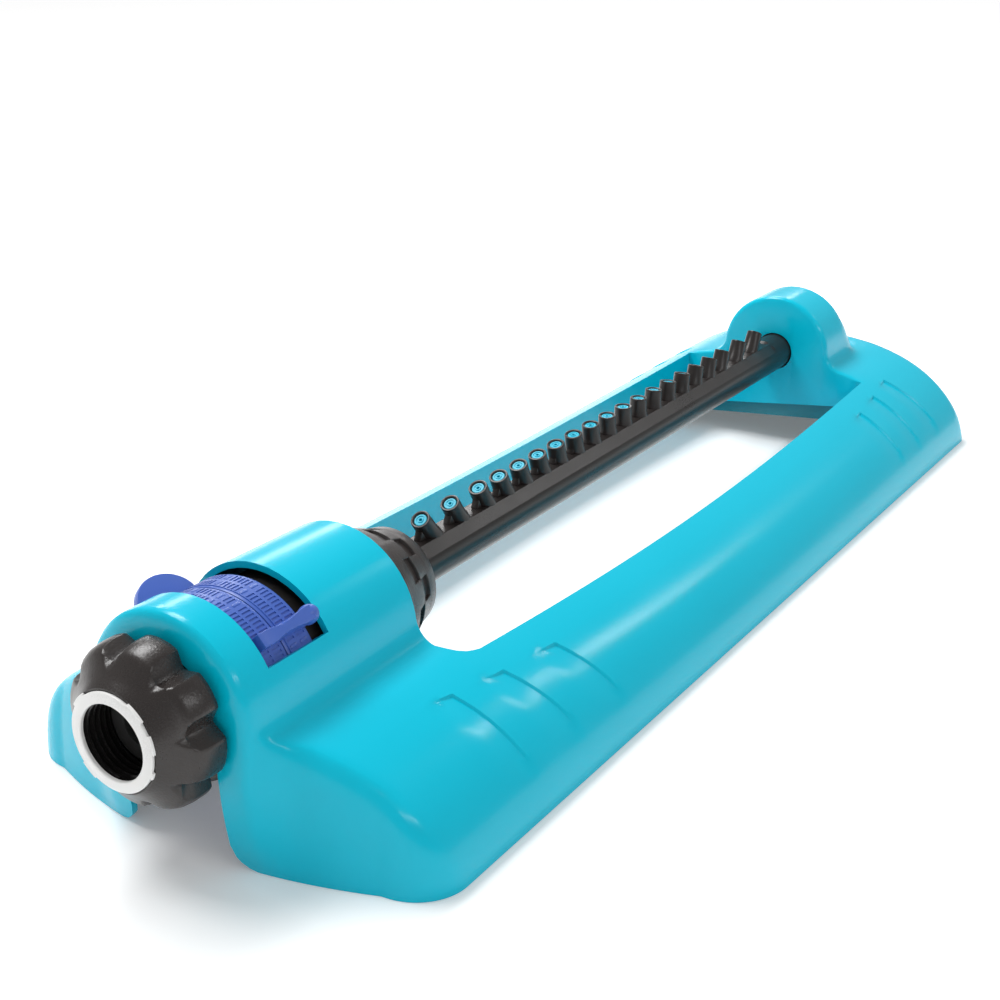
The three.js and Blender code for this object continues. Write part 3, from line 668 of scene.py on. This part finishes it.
def nut_face():
    """The bright ring in the nut's mouth, with small steps round its rim."""
    ring = turned("nut_face", [
        (-25.4, 12.5), (-25.7, 12.8), (-25.7, 15.8), (-25.4, 16.2), (-24.3, 16.2), (-24.3, 12.5),
        (-25.4, 12.5),
    ], 120)
    steps = [(28, 52), (66, 88), (108, 118), (-150, -128), (-60, -40)]     # degrees towards the front

    def on_step(face):
        angle, radius = polar(face.center)
        return radius > 15.95 and any(a < -angle < b for a, b in steps) and abs(face.normal.x) < 0.5

    pick(ring, "faces", on_step)
    bpy.ops.mesh.extrude_region_shrink_fatten(TRANSFORM_OT_shrink_fatten={"value": 0.75 * MM})
    done()
    soften(ring, 0.15, angle=60, segments=1)
    smooth(ring, 40)
    return ring


def hose_thread():
    """Female hose thread, swept round as a screw."""
    pitch, turns, root, crest = 2.21, 5, 13.95, 12.55
    tooth = [(0, root), (0.45, root), (0.95, crest), (1.35, crest), (1.85, root), (pitch, root)]
    thread = drawn("hose_thread", [Vector((r, 0, x)) * MM for x, r in tooth])
    modify(thread, "SCREW", angle=math.tau, screw_offset=pitch * MM, iterations=turns, steps=72,
           render_steps=72, axis="Z", use_merge_vertices=True, merge_threshold=0.005 * MM)
    thread.data.transform(Matrix.Translation(at(-24.3, 0, AXIS)) @ Matrix.Rotation(math.pi / 2, 4, "Y"))
    outward(thread)
    modify(thread, "SOLIDIFY", thickness=0.5 * MM, offset=0)
    smooth(thread, 40)
    return thread


nut = dress(hose_nut(), "nut", "black_plastic", "inlet_nut")
face_ring = dress(nut_face(), "nut", "plated_metal", "thread_insert")
thread = dress(hose_thread(), "nut", "black_plastic")


def motor_front():
    """Front of the motor, seen through the hose arch round the nut."""
    drum = turned("motor_front", [
        (0.4, 9.5), (0.4, 16.8), (0.0, 17.4), (-1.6, 17.6), (-2.0, 18.0), (-2.0, 18.9), (-1.6, 19.3),
        (1.0, 19.4), (1.6, 19.8), (1.6, 25.4), (2.6, 26.3), (4.9, 26.3), (4.9, 9.5), (0.4, 9.5),
    ], 96)
    smooth(drum, 30)
    return drum


drum = dress(motor_front(), "base", "black_plastic", "motor_front_cover")

# ---------------------------------------------------------------- range rings

RING = 30.0
TICK, TICK_DEPTH = 1.5, 0.28      # width of a tick in degrees, and how deep the gaps between ticks are
MARK_CLEAR = 3.2                  # degrees left plain on each side of a mark


def range_ring(name, x0, x1, bands, marks):
    """Ring with ticks pressed into its bands and a raised bar across them at each mark's angle."""
    ring = turned(name, [
        (x0, 27.2), (x0, 29.5), (x0 + 0.35, RING - 0.35), (x0 + 1.1, RING - 0.35), (x0 + 1.2, RING - 0.05)]
        + [(x, RING - 0.05) for pair in bands for x in pair]
        + [(x1 - 1.2, RING - 0.05), (x1 - 1.1, RING - 0.35), (x1 - 0.35, RING - 0.35), (x1, 29.5), (x1, 27.2),
           (x0, 27.2)], 240)

    def gap(face):
        x = (face.center.x - SHIFT) / MM
        angle, radius = polar(face.center)
        along_face = abs(face.normal.x) < 0.3 and radius > 29.5
        return along_face and any(a < x < b for a, b in bands) and int((angle + 360) / TICK) % 2 == 0 \
            and not any(abs(angle - mark) < MARK_CLEAR for mark in marks)

    pick(ring, "faces", gap)
    bpy.ops.mesh.extrude_faces_move(TRANSFORM_OT_shrink_fatten={"value": -TICK_DEPTH * MM})
    done()
    bars = []
    for a, b in bands:
        bar = block("mark", (a + 0.2, -0.65, AXIS + RING - 0.6), (b - 0.2, 0.65, AXIS + RING + 0.14))
        soften(bar, 0.2)
        bars += [copy_of(bar, f"{name}_mark", round_axis(mark)) for mark in marks]
        bpy.data.objects.remove(bar)
    whole = join(name, [ring] + bars)
    smooth(whole, 35)
    return whole


def round_paddle():
    """Round finger tab of the near ring."""
    start()
    bpy.ops.mesh.primitive_cylinder_add(vertices=72, radius=MM, depth=3 * MM,
                                        location=at(25.4, 0, AXIS + 30.4), rotation=(math.pi / 2, 0, 0))
    bpy.context.object.scale = (12, 10.0, 1)
    tab = named("round_tab")
    edit_all(tab)
    bpy.ops.mesh.bisect(plane_co=at(0, 0, AXIS + 30.1), plane_no=(0, 0, 1), clear_inner=True,
                        use_fill=True)
    done()
    soften(tab, 0.7, angle=50, segments=3)
    drop_slivers(tab)
    foot = block("round_tab_foot", (13.6, -2.2, AXIS + 28.6), (23.6, 2.2, AXIS + 31.4))
    soften(foot, 0.8, segments=3)
    tab = join("round_tab", [tab, foot])
    tab.data.transform(round_axis(52))
    smooth(tab, 40)
    return tab


def wedge_tab():
    """Finger tab of the far ring: a bar that rises to a round knob."""
    tip, length, foot = 14.4, 22, 29.0
    bar = block("wedge_tab", (tip, -2.4, AXIS + foot), (tip + length, 2.4, AXIS + 33.8))
    edit_all(bar)
    bpy.ops.mesh.subdivide(number_cuts=11)
    done()
    for vert in bar.data.vertices:
        x = (vert.co.x - SHIFT) / MM
        lift = vert.co.z / MM - AXIS - foot
        share = min(max((x - tip) / length, 0), 1)
        waist = 1 - 0.35 * math.sin(math.pi * min(max((share - 0.25) / 0.6, 0), 1)) * ease(lift / 4.4)
        vert.co.y *= waist
        vert.co.z += ease(lift / 4.4) * (2.4 * share ** 1.4 - 0.9 * math.sin(math.pi * share)) * MM
    soften(bar, 0.6, angle=50, segments=3)
    drop_slivers(bar)
    start()
    bpy.ops.mesh.primitive_uv_sphere_add(segments=36, ring_count=20, radius=3.6 * MM,
                                         location=at(36.9, 0, AXIS + 32.8))
    bpy.context.object.scale = (1.0, 0.9, 1.0)
    ball = named("knob_head")
    tab = join("wedge_tab", [bar, ball])
    tab.data.transform(round_axis(-47))
    smooth(tab, 40)
    return tab


near_ring = dress(range_ring("near_range_ring", 13, 24.2, [(14.6, 17.9), (19.0, 22.6)], [-6, 14, -18]),
                  "near_ring", "ring_plastic", "range_ring_near")
far_ring = dress(range_ring("far_range_ring", 24.6, 36, [(26.2, 29.6), (30.8, 34.4)], [-12, 8, -58]),
                 "far_ring", "ring_plastic", "range_ring_far")
near_tab = dress(round_paddle(), "near_ring", "ring_plastic")
far_tab = dress(wedge_tab(), "far_ring", "ring_plastic")

# ---------------------------------------------------------------- spray tube

TUBE, DECK = 9.1, 8.2
DECK_ENDS = (119, 430)
FACET, FACET_HALF = 43, 17        # flat along each side, between deck and belly


def tube_collar():
    """Drum at the tube's root, with two rows of staggered hollows."""
    first, second = (95.4, 101.0), (101.4, 107.4)
    collar = turned("tube_collar_skin", [
        (72, 25.2), (72, 27.2), (72.4, 27.4), (88.6, 27.3), (89.2, 27.0), (89.4, 26.2), (90.2, 26.0),
        (first[0], 24.6), (first[1], 22.5), (second[0], 22.35), (second[1], 20.2), (108.2, 20.0),
        (112.6, 19.0), (114.0, 17.8), (114.4, 16.0), (114.4, 13.4), (115.6, 12.6), (116, 11.8), (116, 9.3),
        (112, 9.3), (110, 14.5), (105, 16.5), (95, 20), (89, 23.4), (74, 24), (72, 24), (72, 25.2),
    ], 64)

    def hollow(face):
        x = (face.center.x - SHIFT) / MM
        angle, radius = polar(face.center)
        in_first = first[0] < x < first[1]
        if radius < 20.4 or not (in_first or second[0] < x < second[1]):
            return False
        return int((angle + 360) / 22.5) % 2 == in_first

    pick(collar, "faces", hollow)
    bpy.ops.mesh.extrude_region_shrink_fatten(TRANSFORM_OT_shrink_fatten={"value": -1.3 * MM})
    done()
    soften(collar, 0.3, angle=45)
    smooth(collar, 35)
    return collar


def spray_pipe():
    """The tube: flat deck for the spouts, a flat along each side, round where it enters the far hump."""
    near_end, far_end = 92, 474
    deck_start, deck_end = DECK_ENDS
    along_deck = [deck_start + i * (deck_end - deck_start) / 12 for i in range(1, 13)]
    stations = [near_end, 118, deck_start] + along_deck + [430.8, 432.5, 435, 473.4]
    outline = [(x, TUBE) for x in stations] + [(far_end, TUBE - 0.6)]
    pipe = turned("spray_pipe", [(near_end, 0)] + outline + [(far_end, 0)], 96)
    for vert in pipe.data.vertices:
        x = (vert.co.x - SHIFT) / MM
        angle, radius = polar(vert.co)
        if radius < 5 or x > deck_end + 2:
            continue
        if x > deck_start - 0.5 and vert.co.z > (AXIS + DECK) * MM:
            vert.co.z = (AXIS + DECK) * MM
        if abs(abs(angle) - FACET) < FACET_HALF:
            share = math.cos(math.radians(FACET_HALF)) / math.cos(math.radians(abs(angle) - FACET))
            vert.co.y *= share
            vert.co.z = AXIS * MM + (vert.co.z - AXIS * MM) * share
    smooth(pipe, 11)
    return pipe


SPOUTS = 20
PITCH, END_PITCH, EVEN_REACH, ROW_MIDDLE = 13.85, 18.2, 7.5, 276.5
LEAN = (-38, 30)
SPOUT_HEIGHT = 8.1
FIN_REACH, FIN_LOW, FIN_TOP = 3.8, -0.6, 6.4
FIN_EDGE, FIN_EDGE_RISE = -1.4, 0.7   # the fin's middle at its foot, and how far it moves up to the top


def spout_place(index):
    """Where a spout stands along the base, and how far it leans towards the far end, in radians."""
    step = index - (SPOUTS - 1) / 2
    even, wider = min(abs(step), EVEN_REACH), max(abs(step) - EVEN_REACH, 0)
    x = ROW_MIDDLE + math.copysign(even * PITCH + wider * END_PITCH, step)
    lean = LEAN[0] + (LEAN[1] - LEAN[0]) * index / (SPOUTS - 1)
    return x, math.radians(lean)


def spout():
    """One upright spout along X from the deck: slightly tapered, open mouth with a rounded lip."""
    mouth = SPOUT_HEIGHT
    shape = turned("spout", [
        (-2.5, 0), (-2.5, 4.4), (0.6, 4.2), (1.4, 3.9), (mouth - 0.8, 3.75), (mouth - 0.3, 3.75),
        (mouth - 0.08, 3.6), (mouth, 3.2), (mouth - 0.15, 2.8), (mouth - 0.5, 2.6), (mouth - 2.6, 2.5),
        (mouth - 2.6, 0),
    ], 40, 0, 0, loose)
    smooth(shape, 40)
    return shape


def jet_disc():
    """Soft disc in the spout's mouth: raised ring round a small hole."""
    mouth = SPOUT_HEIGHT
    shape = turned("jet_disc", [
        (mouth - 2.4, 0), (mouth - 2.4, 2.46), (mouth - 0.65, 2.46), (mouth - 0.5, 2.3), (mouth - 0.5, 1.75),
        (mouth - 0.78, 1.62), (mouth - 0.78, 1.25), (mouth - 0.45, 1.08), (mouth - 0.4, 0.82),
        (mouth - 0.5, 0.6), (mouth - 2.1, 0.55), (mouth - 2.1, 0),
    ], 36, 0, 0, loose)
    smooth(shape, 40)
    return shape


def gusset():
    """Fin that fills the corner between an upright spout's near side and the deck."""
    fin = block("gusset", (-FIN_REACH, -1.5, FIN_LOW), (FIN_REACH, 1.5, FIN_TOP), loose)
    for vert in fin.data.vertices:
        at_top, near_side = vert.co.z > 0, vert.co.x < 0
        x = (-1.2 if near_side else -0.2) if at_top else (-FIN_REACH if near_side else 1)
        vert.co.x = x * MM
    soften(fin, 0.25)
    smooth(fin, 40)
    return fin


def drawn_out(piece, length):
    """Make a spout or disc as long as its lean asks for, by moving its mouth."""
    for vert in piece.data.vertices:
        if vert.co.x > SPOUT_HEIGHT / 2 * MM:
            vert.co.x += (length - SPOUT_HEIGHT) * MM


def leant(fin, lean):
    """Lean a fin over with its spout; on a spout that leans back its foot reaches out as far."""
    over = FIN_TOP * math.tan(lean)
    for vert in fin.data.vertices:
        rise = (vert.co.z / MM - FIN_LOW) / (FIN_TOP - FIN_LOW)
        near_side = vert.co.x / MM < FIN_EDGE + FIN_EDGE_RISE * rise
        out = max(-over, 0) * (1 - rise) if near_side else 0
        vert.co.x += (over * rise - out) * MM


def spout_row():
    """The row of spouts with their fins, and the row of their discs."""
    upright = Matrix.Rotation(-math.pi / 2, 4, "Y")
    one_spout, one_disc, one_fin = spout(), jet_disc(), gusset()
    pieces, discs = [], []
    for index in range(SPOUTS):
        x, lean = spout_place(index)
        foot = Matrix.Translation(at(x, 0, AXIS + DECK))
        body, disc, fin = (copy_of(one, one.name, Matrix()) for one in (one_spout, one_disc, one_fin))
        leant(fin, lean)
        fin.data.transform(foot)
        for piece in (body, disc):
            drawn_out(piece, SPOUT_HEIGHT / math.cos(lean))
            piece.data.transform(foot @ Matrix.Rotation(lean, 4, "Y") @ upright)
        pieces += [body, fin]
        discs.append(disc)
    for one in (one_spout, one_disc, one_fin):
        bpy.data.objects.remove(one)
    return join("spouts", pieces), join("jet_discs", discs)


collar = dress(tube_collar(), "tube", "black_plastic", "tube_collar")
pipe = dress(spray_pipe(), "tube", "black_plastic", "spray_tube")
spouts, discs = spout_row()
dress(spouts, "tube", "black_plastic")
dress(discs, "tube", "jet_rubber", "nozzle_strip")

# ---------------------------------------------------------------- finishes


def node_group(name, inputs, outputs=()):
    group = bpy.data.node_groups.new(name, "ShaderNodeTree")
    for socket, kind, value in inputs:
        made = group.interface.new_socket(name=socket, in_out="INPUT", socket_type=kind)
        made.default_value = value
    for socket, kind in (("Color", "NodeSocketColor"), ("Roughness", "NodeSocketFloat"),
                         ("Height", "NodeSocketFloat")) + outputs:
        group.interface.new_socket(name=socket, in_out="OUTPUT", socket_type=kind)
    return group


class Wiring:
    """Short ways to add and join nodes in one tree."""

    def __init__(self, tree):
        self.tree = tree

    def add(self, kind, **values):
        node = self.tree.nodes.new(kind)
        for key, value in values.items():
            setattr(node, key, value)
        return node

    def join(self, source, target):
        self.tree.links.new(source, target)

    def feed(self, node, **values):
        for key, value in values.items():
            socket = node.inputs[key.replace("_", " ")]
            if isinstance(value, bpy.types.NodeSocket):
                self.join(value, socket)
            else:
                socket.default_value = value
        return node

    def place(self, stretch=(1, 1, 1)):
        coords = self.add("ShaderNodeTexCoord")
        mapping = self.add("ShaderNodeMapping")
        self.feed(mapping, Vector=coords.outputs["Object"], Scale=stretch)
        return mapping.outputs["Vector"]

    def noise(self, vector, scale, detail=3, roughness=0.5):
        node = self.feed(self.add("ShaderNodeTexNoise"), Vector=vector, Scale=scale, Detail=detail,
                         Roughness=roughness)
        return node.outputs["Fac"]

    def spread(self, value, low, high, to_low=0, to_high=1):
        node = self.add("ShaderNodeMapRange")
        self.feed(node, Value=value)
        for index, number in zip((1, 2, 3, 4), (low, high, to_low, to_high)):
            if isinstance(number, bpy.types.NodeSocket):
                self.join(number, node.inputs[index])
            else:
                node.inputs[index].default_value = number
        return node.outputs["Result"]

    def maths(self, kind, first, second):
        node = self.add("ShaderNodeMath", operation=kind)
        for socket, value in zip(node.inputs, (first, second)):
            if isinstance(value, bpy.types.NodeSocket):
                self.join(value, socket)
            else:
                socket.default_value = value
        return node.outputs[0]

    def blend(self, share, first, second):
        node = self.add("ShaderNodeMix", data_type="RGBA")
        for index, value in ((0, share), (6, first), (7, second)):
            if isinstance(value, bpy.types.NodeSocket):
                self.join(value, node.inputs[index])
            else:
                node.inputs[index].default_value = value
        return node.outputs[2]


def moulded_plastic():
    """Moulded plastic: slow drift in the pigment, faint flow streaks, light scuffs and a fine grain."""
    group = node_group("moulded_plastic", [
        ("Pigment", "NodeSocketColor", (0.5, 0.5, 0.5, 1)),
        ("Deep Pigment", "NodeSocketColor", (0.4, 0.4, 0.4, 1)),
        ("Worn Pigment", "NodeSocketColor", (0.6, 0.6, 0.6, 1)),
        ("Gloss", "NodeSocketFloat", 0.3), ("Scuffed", "NodeSocketFloat", 0.1),
        ("Grain", "NodeSocketFloat", 1.0), ("Grain Size", "NodeSocketFloat", 1800.0)])
    w = Wiring(group)
    given = w.add("NodeGroupInput").outputs
    out = w.add("NodeGroupOutput")
    plain = w.place()
    drift = w.spread(w.noise(plain, 14, 2), 0.35, 0.65)
    streak = w.spread(w.noise(w.place((0.12, 1, 1)), 120, 3, 0.6), 0.4, 0.75)
    tone = w.maths("ADD", w.maths("MULTIPLY", drift, 0.7), w.maths("MULTIPLY", streak, 0.3))
    body = w.blend(tone, given["Deep Pigment"], given["Pigment"])
    scratch = w.spread(w.noise(w.place((0.25, 1.6, 1)), 420, 5, 0.75), 0.62, 0.74)
    patch = w.spread(w.noise(plain, 22, 4, 0.6), 0.5, 0.68)
    worn = w.maths("MULTIPLY", w.maths("MULTIPLY", scratch, patch), given["Scuffed"])
    w.feed(out, Color=w.blend(worn, body, given["Worn Pigment"]))
    speckle = w.noise(plain, given["Grain Size"], 2, 0.6)
    rough = w.maths("ADD", given["Gloss"], w.maths("MULTIPLY", w.maths("SUBTRACT", drift, 0.5), 0.05))
    rough = w.maths("ADD", rough, w.maths("MULTIPLY", worn, 0.35))
    rough = w.maths("ADD", rough, w.maths("MULTIPLY", w.maths("SUBTRACT", speckle, 0.5), 0.08))
    w.feed(out, Roughness=rough)
    height = w.maths("MULTIPLY", speckle, given["Grain"])
    height = w.maths("SUBTRACT", height, w.maths("MULTIPLY", worn, 0.6))
    w.feed(out, Height=height)
    return group


def bright_metal():
    """Plated or rolled metal: fine lines along the piece, spots and dull patches."""
    group = node_group("bright_metal", [
        ("Metal", "NodeSocketColor", (0.7, 0.7, 0.7, 1)),
        ("Dull Metal", "NodeSocketColor", (0.4, 0.4, 0.4, 1)),
        ("Polish", "NodeSocketFloat", 0.25), ("Spotted", "NodeSocketFloat", 0.3)])
    w = Wiring(group)
    given = w.add("NodeGroupInput").outputs
    out = w.add("NodeGroupOutput")
    plain = w.place()
    lines = w.noise(w.place((0.08, 1, 1)), 900, 4, 0.6)
    cloud = w.spread(w.noise(plain, 60, 4, 0.6), 0.45, 0.7)
    cells = w.feed(w.add("ShaderNodeTexVoronoi"), Vector=plain, Scale=700).outputs["Distance"]
    spots = w.maths("MULTIPLY", w.spread(cells, 0.12, 0.05), given["Spotted"])
    dull = w.maths("ADD", w.maths("MULTIPLY", cloud, 0.35), spots)
    w.feed(out, Color=w.blend(dull, given["Metal"], given["Dull Metal"]))
    rough = w.maths("ADD", given["Polish"], w.maths("MULTIPLY", cloud, 0.12))
    w.feed(out, Roughness=w.maths("ADD", rough, w.maths("MULTIPLY", lines, 0.08)))
    w.feed(out, Height=w.maths("SUBTRACT", w.maths("MULTIPLY", lines, 0.5), w.maths("MULTIPLY", spots, 0.5)))
    return group


def pale_ground():
    """Smooth pale floor with the faintest mottle, glowing softly away from the middle: painted light, weakest
    near the middle so the floor there stays darker.
    """
    group = node_group("pale_ground", [("Tone", "NodeSocketColor", (0.9, 0.9, 0.9, 1)),
                                       ("Shade", "NodeSocketColor", (0.87, 0.87, 0.87, 1))],
                       (("Glow", "NodeSocketColor"),))
    w = Wiring(group)
    given = w.add("NodeGroupInput").outputs
    out = w.add("NodeGroupOutput")
    cloud = w.noise(w.place(), 3, 3)
    w.feed(out, Color=w.blend(cloud, given["Tone"], given["Shade"]))
    w.feed(out, Roughness=w.spread(cloud, 0, 1, 0.6, 0.75))
    w.feed(out, Height=w.noise(w.place(), 300, 2))
    distance = w.add("ShaderNodeVectorMath", operation="LENGTH")
    w.feed(distance, Vector=w.place())
    glow = w.spread(distance.outputs["Value"], 0.3, 1.5, 0.3, 1)
    w.feed(out, Glow=w.blend(glow, (0, 0, 0, 1), (1, 1, 1, 1)))
    return group


PLASTIC, METAL, GROUND = moulded_plastic(), bright_metal(), pale_ground()


def material(name, group, bump, given, sockets=None):
    made = bpy.data.materials.new(name)
    made.use_nodes = True
    w = Wiring(made.node_tree)
    shader = made.node_tree.nodes["Principled BSDF"]
    for key, value in (sockets or {}).items():
        shader.inputs[key].default_value = value
    surface = w.add("ShaderNodeGroup", node_tree=group)
    w.feed(surface, **given)
    relief = w.add("ShaderNodeBump")
    w.feed(relief, Strength=bump, Distance=0.0002, Height=surface.outputs["Height"])
    w.feed(shader, Base_Color=surface.outputs["Color"], Roughness=surface.outputs["Roughness"],
           Normal=relief.outputs["Normal"])
    if "Glow" in surface.outputs:
        w.feed(shader, Emission_Color=surface.outputs["Glow"])
    return made


def plastic(name, pigment, deep, worn, gloss, scuffed=0.1, grain=1.0, grain_size=1800, bump=0.06, **sockets):
    return material(name, PLASTIC, bump, {
        "Pigment": (*pigment, 1), "Deep Pigment": (*deep, 1), "Worn Pigment": (*worn, 1), "Gloss": gloss,
        "Scuffed": scuffed, "Grain": grain, "Grain Size": grain_size},
        {key.replace("_", " "): value for key, value in sockets.items()})


def metal(name, colour, dull, polish, spotted=0.3, bump=0.08):
    return material(name, METAL, bump, {"Metal": (*colour, 1), "Dull Metal": (*dull, 1), "Polish": polish,
                                        "Spotted": spotted}, {"Metallic": 1.0})


# pigment, deep pigment, worn pigment, gloss, then how scuffed, grain, grain size and relief
turquoise = plastic("turquoise_shell", (0.0, 0.49, 0.66), (0.0, 0.475, 0.64), (0.10, 0.52, 0.66),
                    0.2, 0.08, 1.0, 2600, 0.015, Specular_IOR_Level=0.25)
# painted shade: a darker copy of the shell plastic for the shell's inside faces and the far rib, standing in
# for the shade in the hollow
turquoise_painted_shade = plastic("turquoise_painted_shade", (0.004, 0.20, 0.25), (0.003, 0.16, 0.21), (0.05, 0.30, 0.36),
                           0.5, 0.4, 1.0, 1600, 0.08)
blue = plastic("blue_ring", (0.05, 0.12, 0.47), (0.045, 0.11, 0.43), (0.12, 0.17, 0.5), 0.36, 0.3)
nut_black = plastic("nut_black", (0.026, 0.021, 0.019), (0.019, 0.015, 0.014), (0.10, 0.09, 0.085),
                    0.28, 0.25, 1.0, 1300, 0.4)
tube_black = plastic("tube_black", (0.024, 0.020, 0.019), (0.018, 0.015, 0.014), (0.09, 0.08, 0.08),
                     0.3, 0.15, 1.0, 2600, 0.03, Specular_IOR_Level=0.35)
motor_black = plastic("motor_black", (0.015, 0.013, 0.012), (0.011, 0.010, 0.009), (0.06, 0.055, 0.05),
                      0.4, 0.3)
thread_black = plastic("thread_black", (0.012, 0.011, 0.011), (0.008, 0.008, 0.008), (0.05, 0.05, 0.05),
                       0.14, 0.1, 1.0, 900, 0.2)
jet_turquoise = plastic("jet_turquoise", (0.0, 0.48, 0.66), (0.0, 0.44, 0.60), (0.2, 0.6, 0.7),
                        0.45, 0.2, 1.0, 4200, 0.1)
gear_cream = plastic("gear_cream", (0.72, 0.70, 0.62), (0.66, 0.64, 0.56), (0.5, 0.48, 0.42), 0.38, 0.3)
soft_black = plastic("soft_rubber", (0.02, 0.02, 0.02), (0.014, 0.014, 0.014), (0.09, 0.09, 0.09),
                     0.62, 0.4, 1.0, 2400, 0.3)
face_white = plastic("face_white", (0.80, 0.80, 0.79), (0.76, 0.76, 0.75), (0.55, 0.55, 0.54),
                     0.28, 0.35, 1.0, 2000, 0.1)
steel = metal("zinc_steel", (0.62, 0.62, 0.60), (0.36, 0.36, 0.35), 0.28)


def finish_with(piece, finish):
    piece.data.materials.clear()
    piece.data.materials.append(finish)


# the inside faces and the far rib get the darker plastic that paints shade
shell.data.materials[0] = turquoise
shell.data.materials[1] = turquoise_painted_shade
for finish, pieces in [
        (turquoise_painted_shade, (rib,)), (jet_turquoise, (discs,)), (nut_black, (nut, collar)),
        (thread_black, (thread,)), (motor_black, (drum,)), (tube_black, (pipe, spouts)),
        (blue, (near_ring, far_ring, near_tab, far_tab)), (face_white, (face_ring,))]:
    for piece in pieces:
        finish_with(piece, finish)

# the hidden pieces carried over from the frame are finished by their slot
by_slot = {"shell_plastic": turquoise, "ring_plastic": blue, "black_plastic": motor_black,
           "jet_rubber": jet_turquoise, "plated_metal": face_white, "steel": steel, "rubber": soft_black,
           "gear_plastic": gear_cream}
slots = {part["node"]: part["material_slot"] for part in frame["record"]["subparts"]}
for node, piece in frame["nodes"].items():
    finish_with(piece, by_slot[slots[node]])

# ---------------------------------------------------------------- floor, light and camera

FLOOR_SIZE = 60                   # metres
SURROUNDINGS = 0.43               # strength of the white all round

start()
bpy.ops.mesh.primitive_plane_add(size=FLOOR_SIZE, location=(0, 0, -0.2 * MM))
floor = named("floor")
# the floor's emission is painted light, weakest near the middle
pale_floor = material("pale_floor", GROUND, 0.02,
                      {"Tone": (0.92, 0.92, 0.92, 1), "Shade": (0.9, 0.9, 0.9, 1)}, {"Emission Strength": 0.55})
finish_with(floor, pale_floor)

world = bpy.data.worlds.new("studio")
bpy.context.scene.world = world
world.use_nodes = True
background = world.node_tree.nodes["Background"]
background.inputs["Color"].default_value = (1, 1, 1, 1)
background.inputs["Strength"].default_value = SURROUNDINGS


def softbox(name, place, aim, size, power):
    """A rectangular light of a size in metres and a power in watts, turned to its aim."""
    light = bpy.data.lights.new(name, "AREA")
    light.shape = "RECTANGLE"
    light.size, light.size_y = size
    light.energy = power
    lamp = bpy.data.objects.new(name, light)
    bpy.context.scene.collection.objects.link(lamp)
    lamp.location = place
    lamp.rotation_euler = (Vector(aim) - Vector(place)).to_track_quat("-Z", "Y").to_euler()


softbox("top_light", (0.0, 0.75, 1.5), (0.05, 0, 0), (1.5, 0.5), 30)
softbox("back_strip", (1.5, 1.1, 0.9), (0, 0, 0.05), (1.6, 0.16), 9)
softbox("front_strip", (-0.2, -1.5, 1.0), (0, 0, 0.05), (1.8, 0.14), 6)
softbox("shoulder_strip", (1.17, -0.56, 0.85), (0, -0.07, 0.03), (0.06, 0.3), 0.9)

camera = bpy.data.objects.new("camera", bpy.data.cameras.new("camera"))
bpy.context.scene.collection.objects.link(camera)
bpy.context.scene.camera = camera
camera.location = at(-305.22, -314.83, 290.0)
camera.data.lens = 57.6
TILT, HEADING = math.radians(21.949), math.radians(32.784)
ahead = Vector((math.cos(TILT) * math.cos(HEADING), math.cos(TILT) * math.sin(HEADING), -math.sin(TILT)))
camera.rotation_euler = ahead.to_track_quat("-Z", "Y").to_euler()
camera.data.clip_start = 0.01
bpy.context.scene.view_settings.view_transform = "Standard"
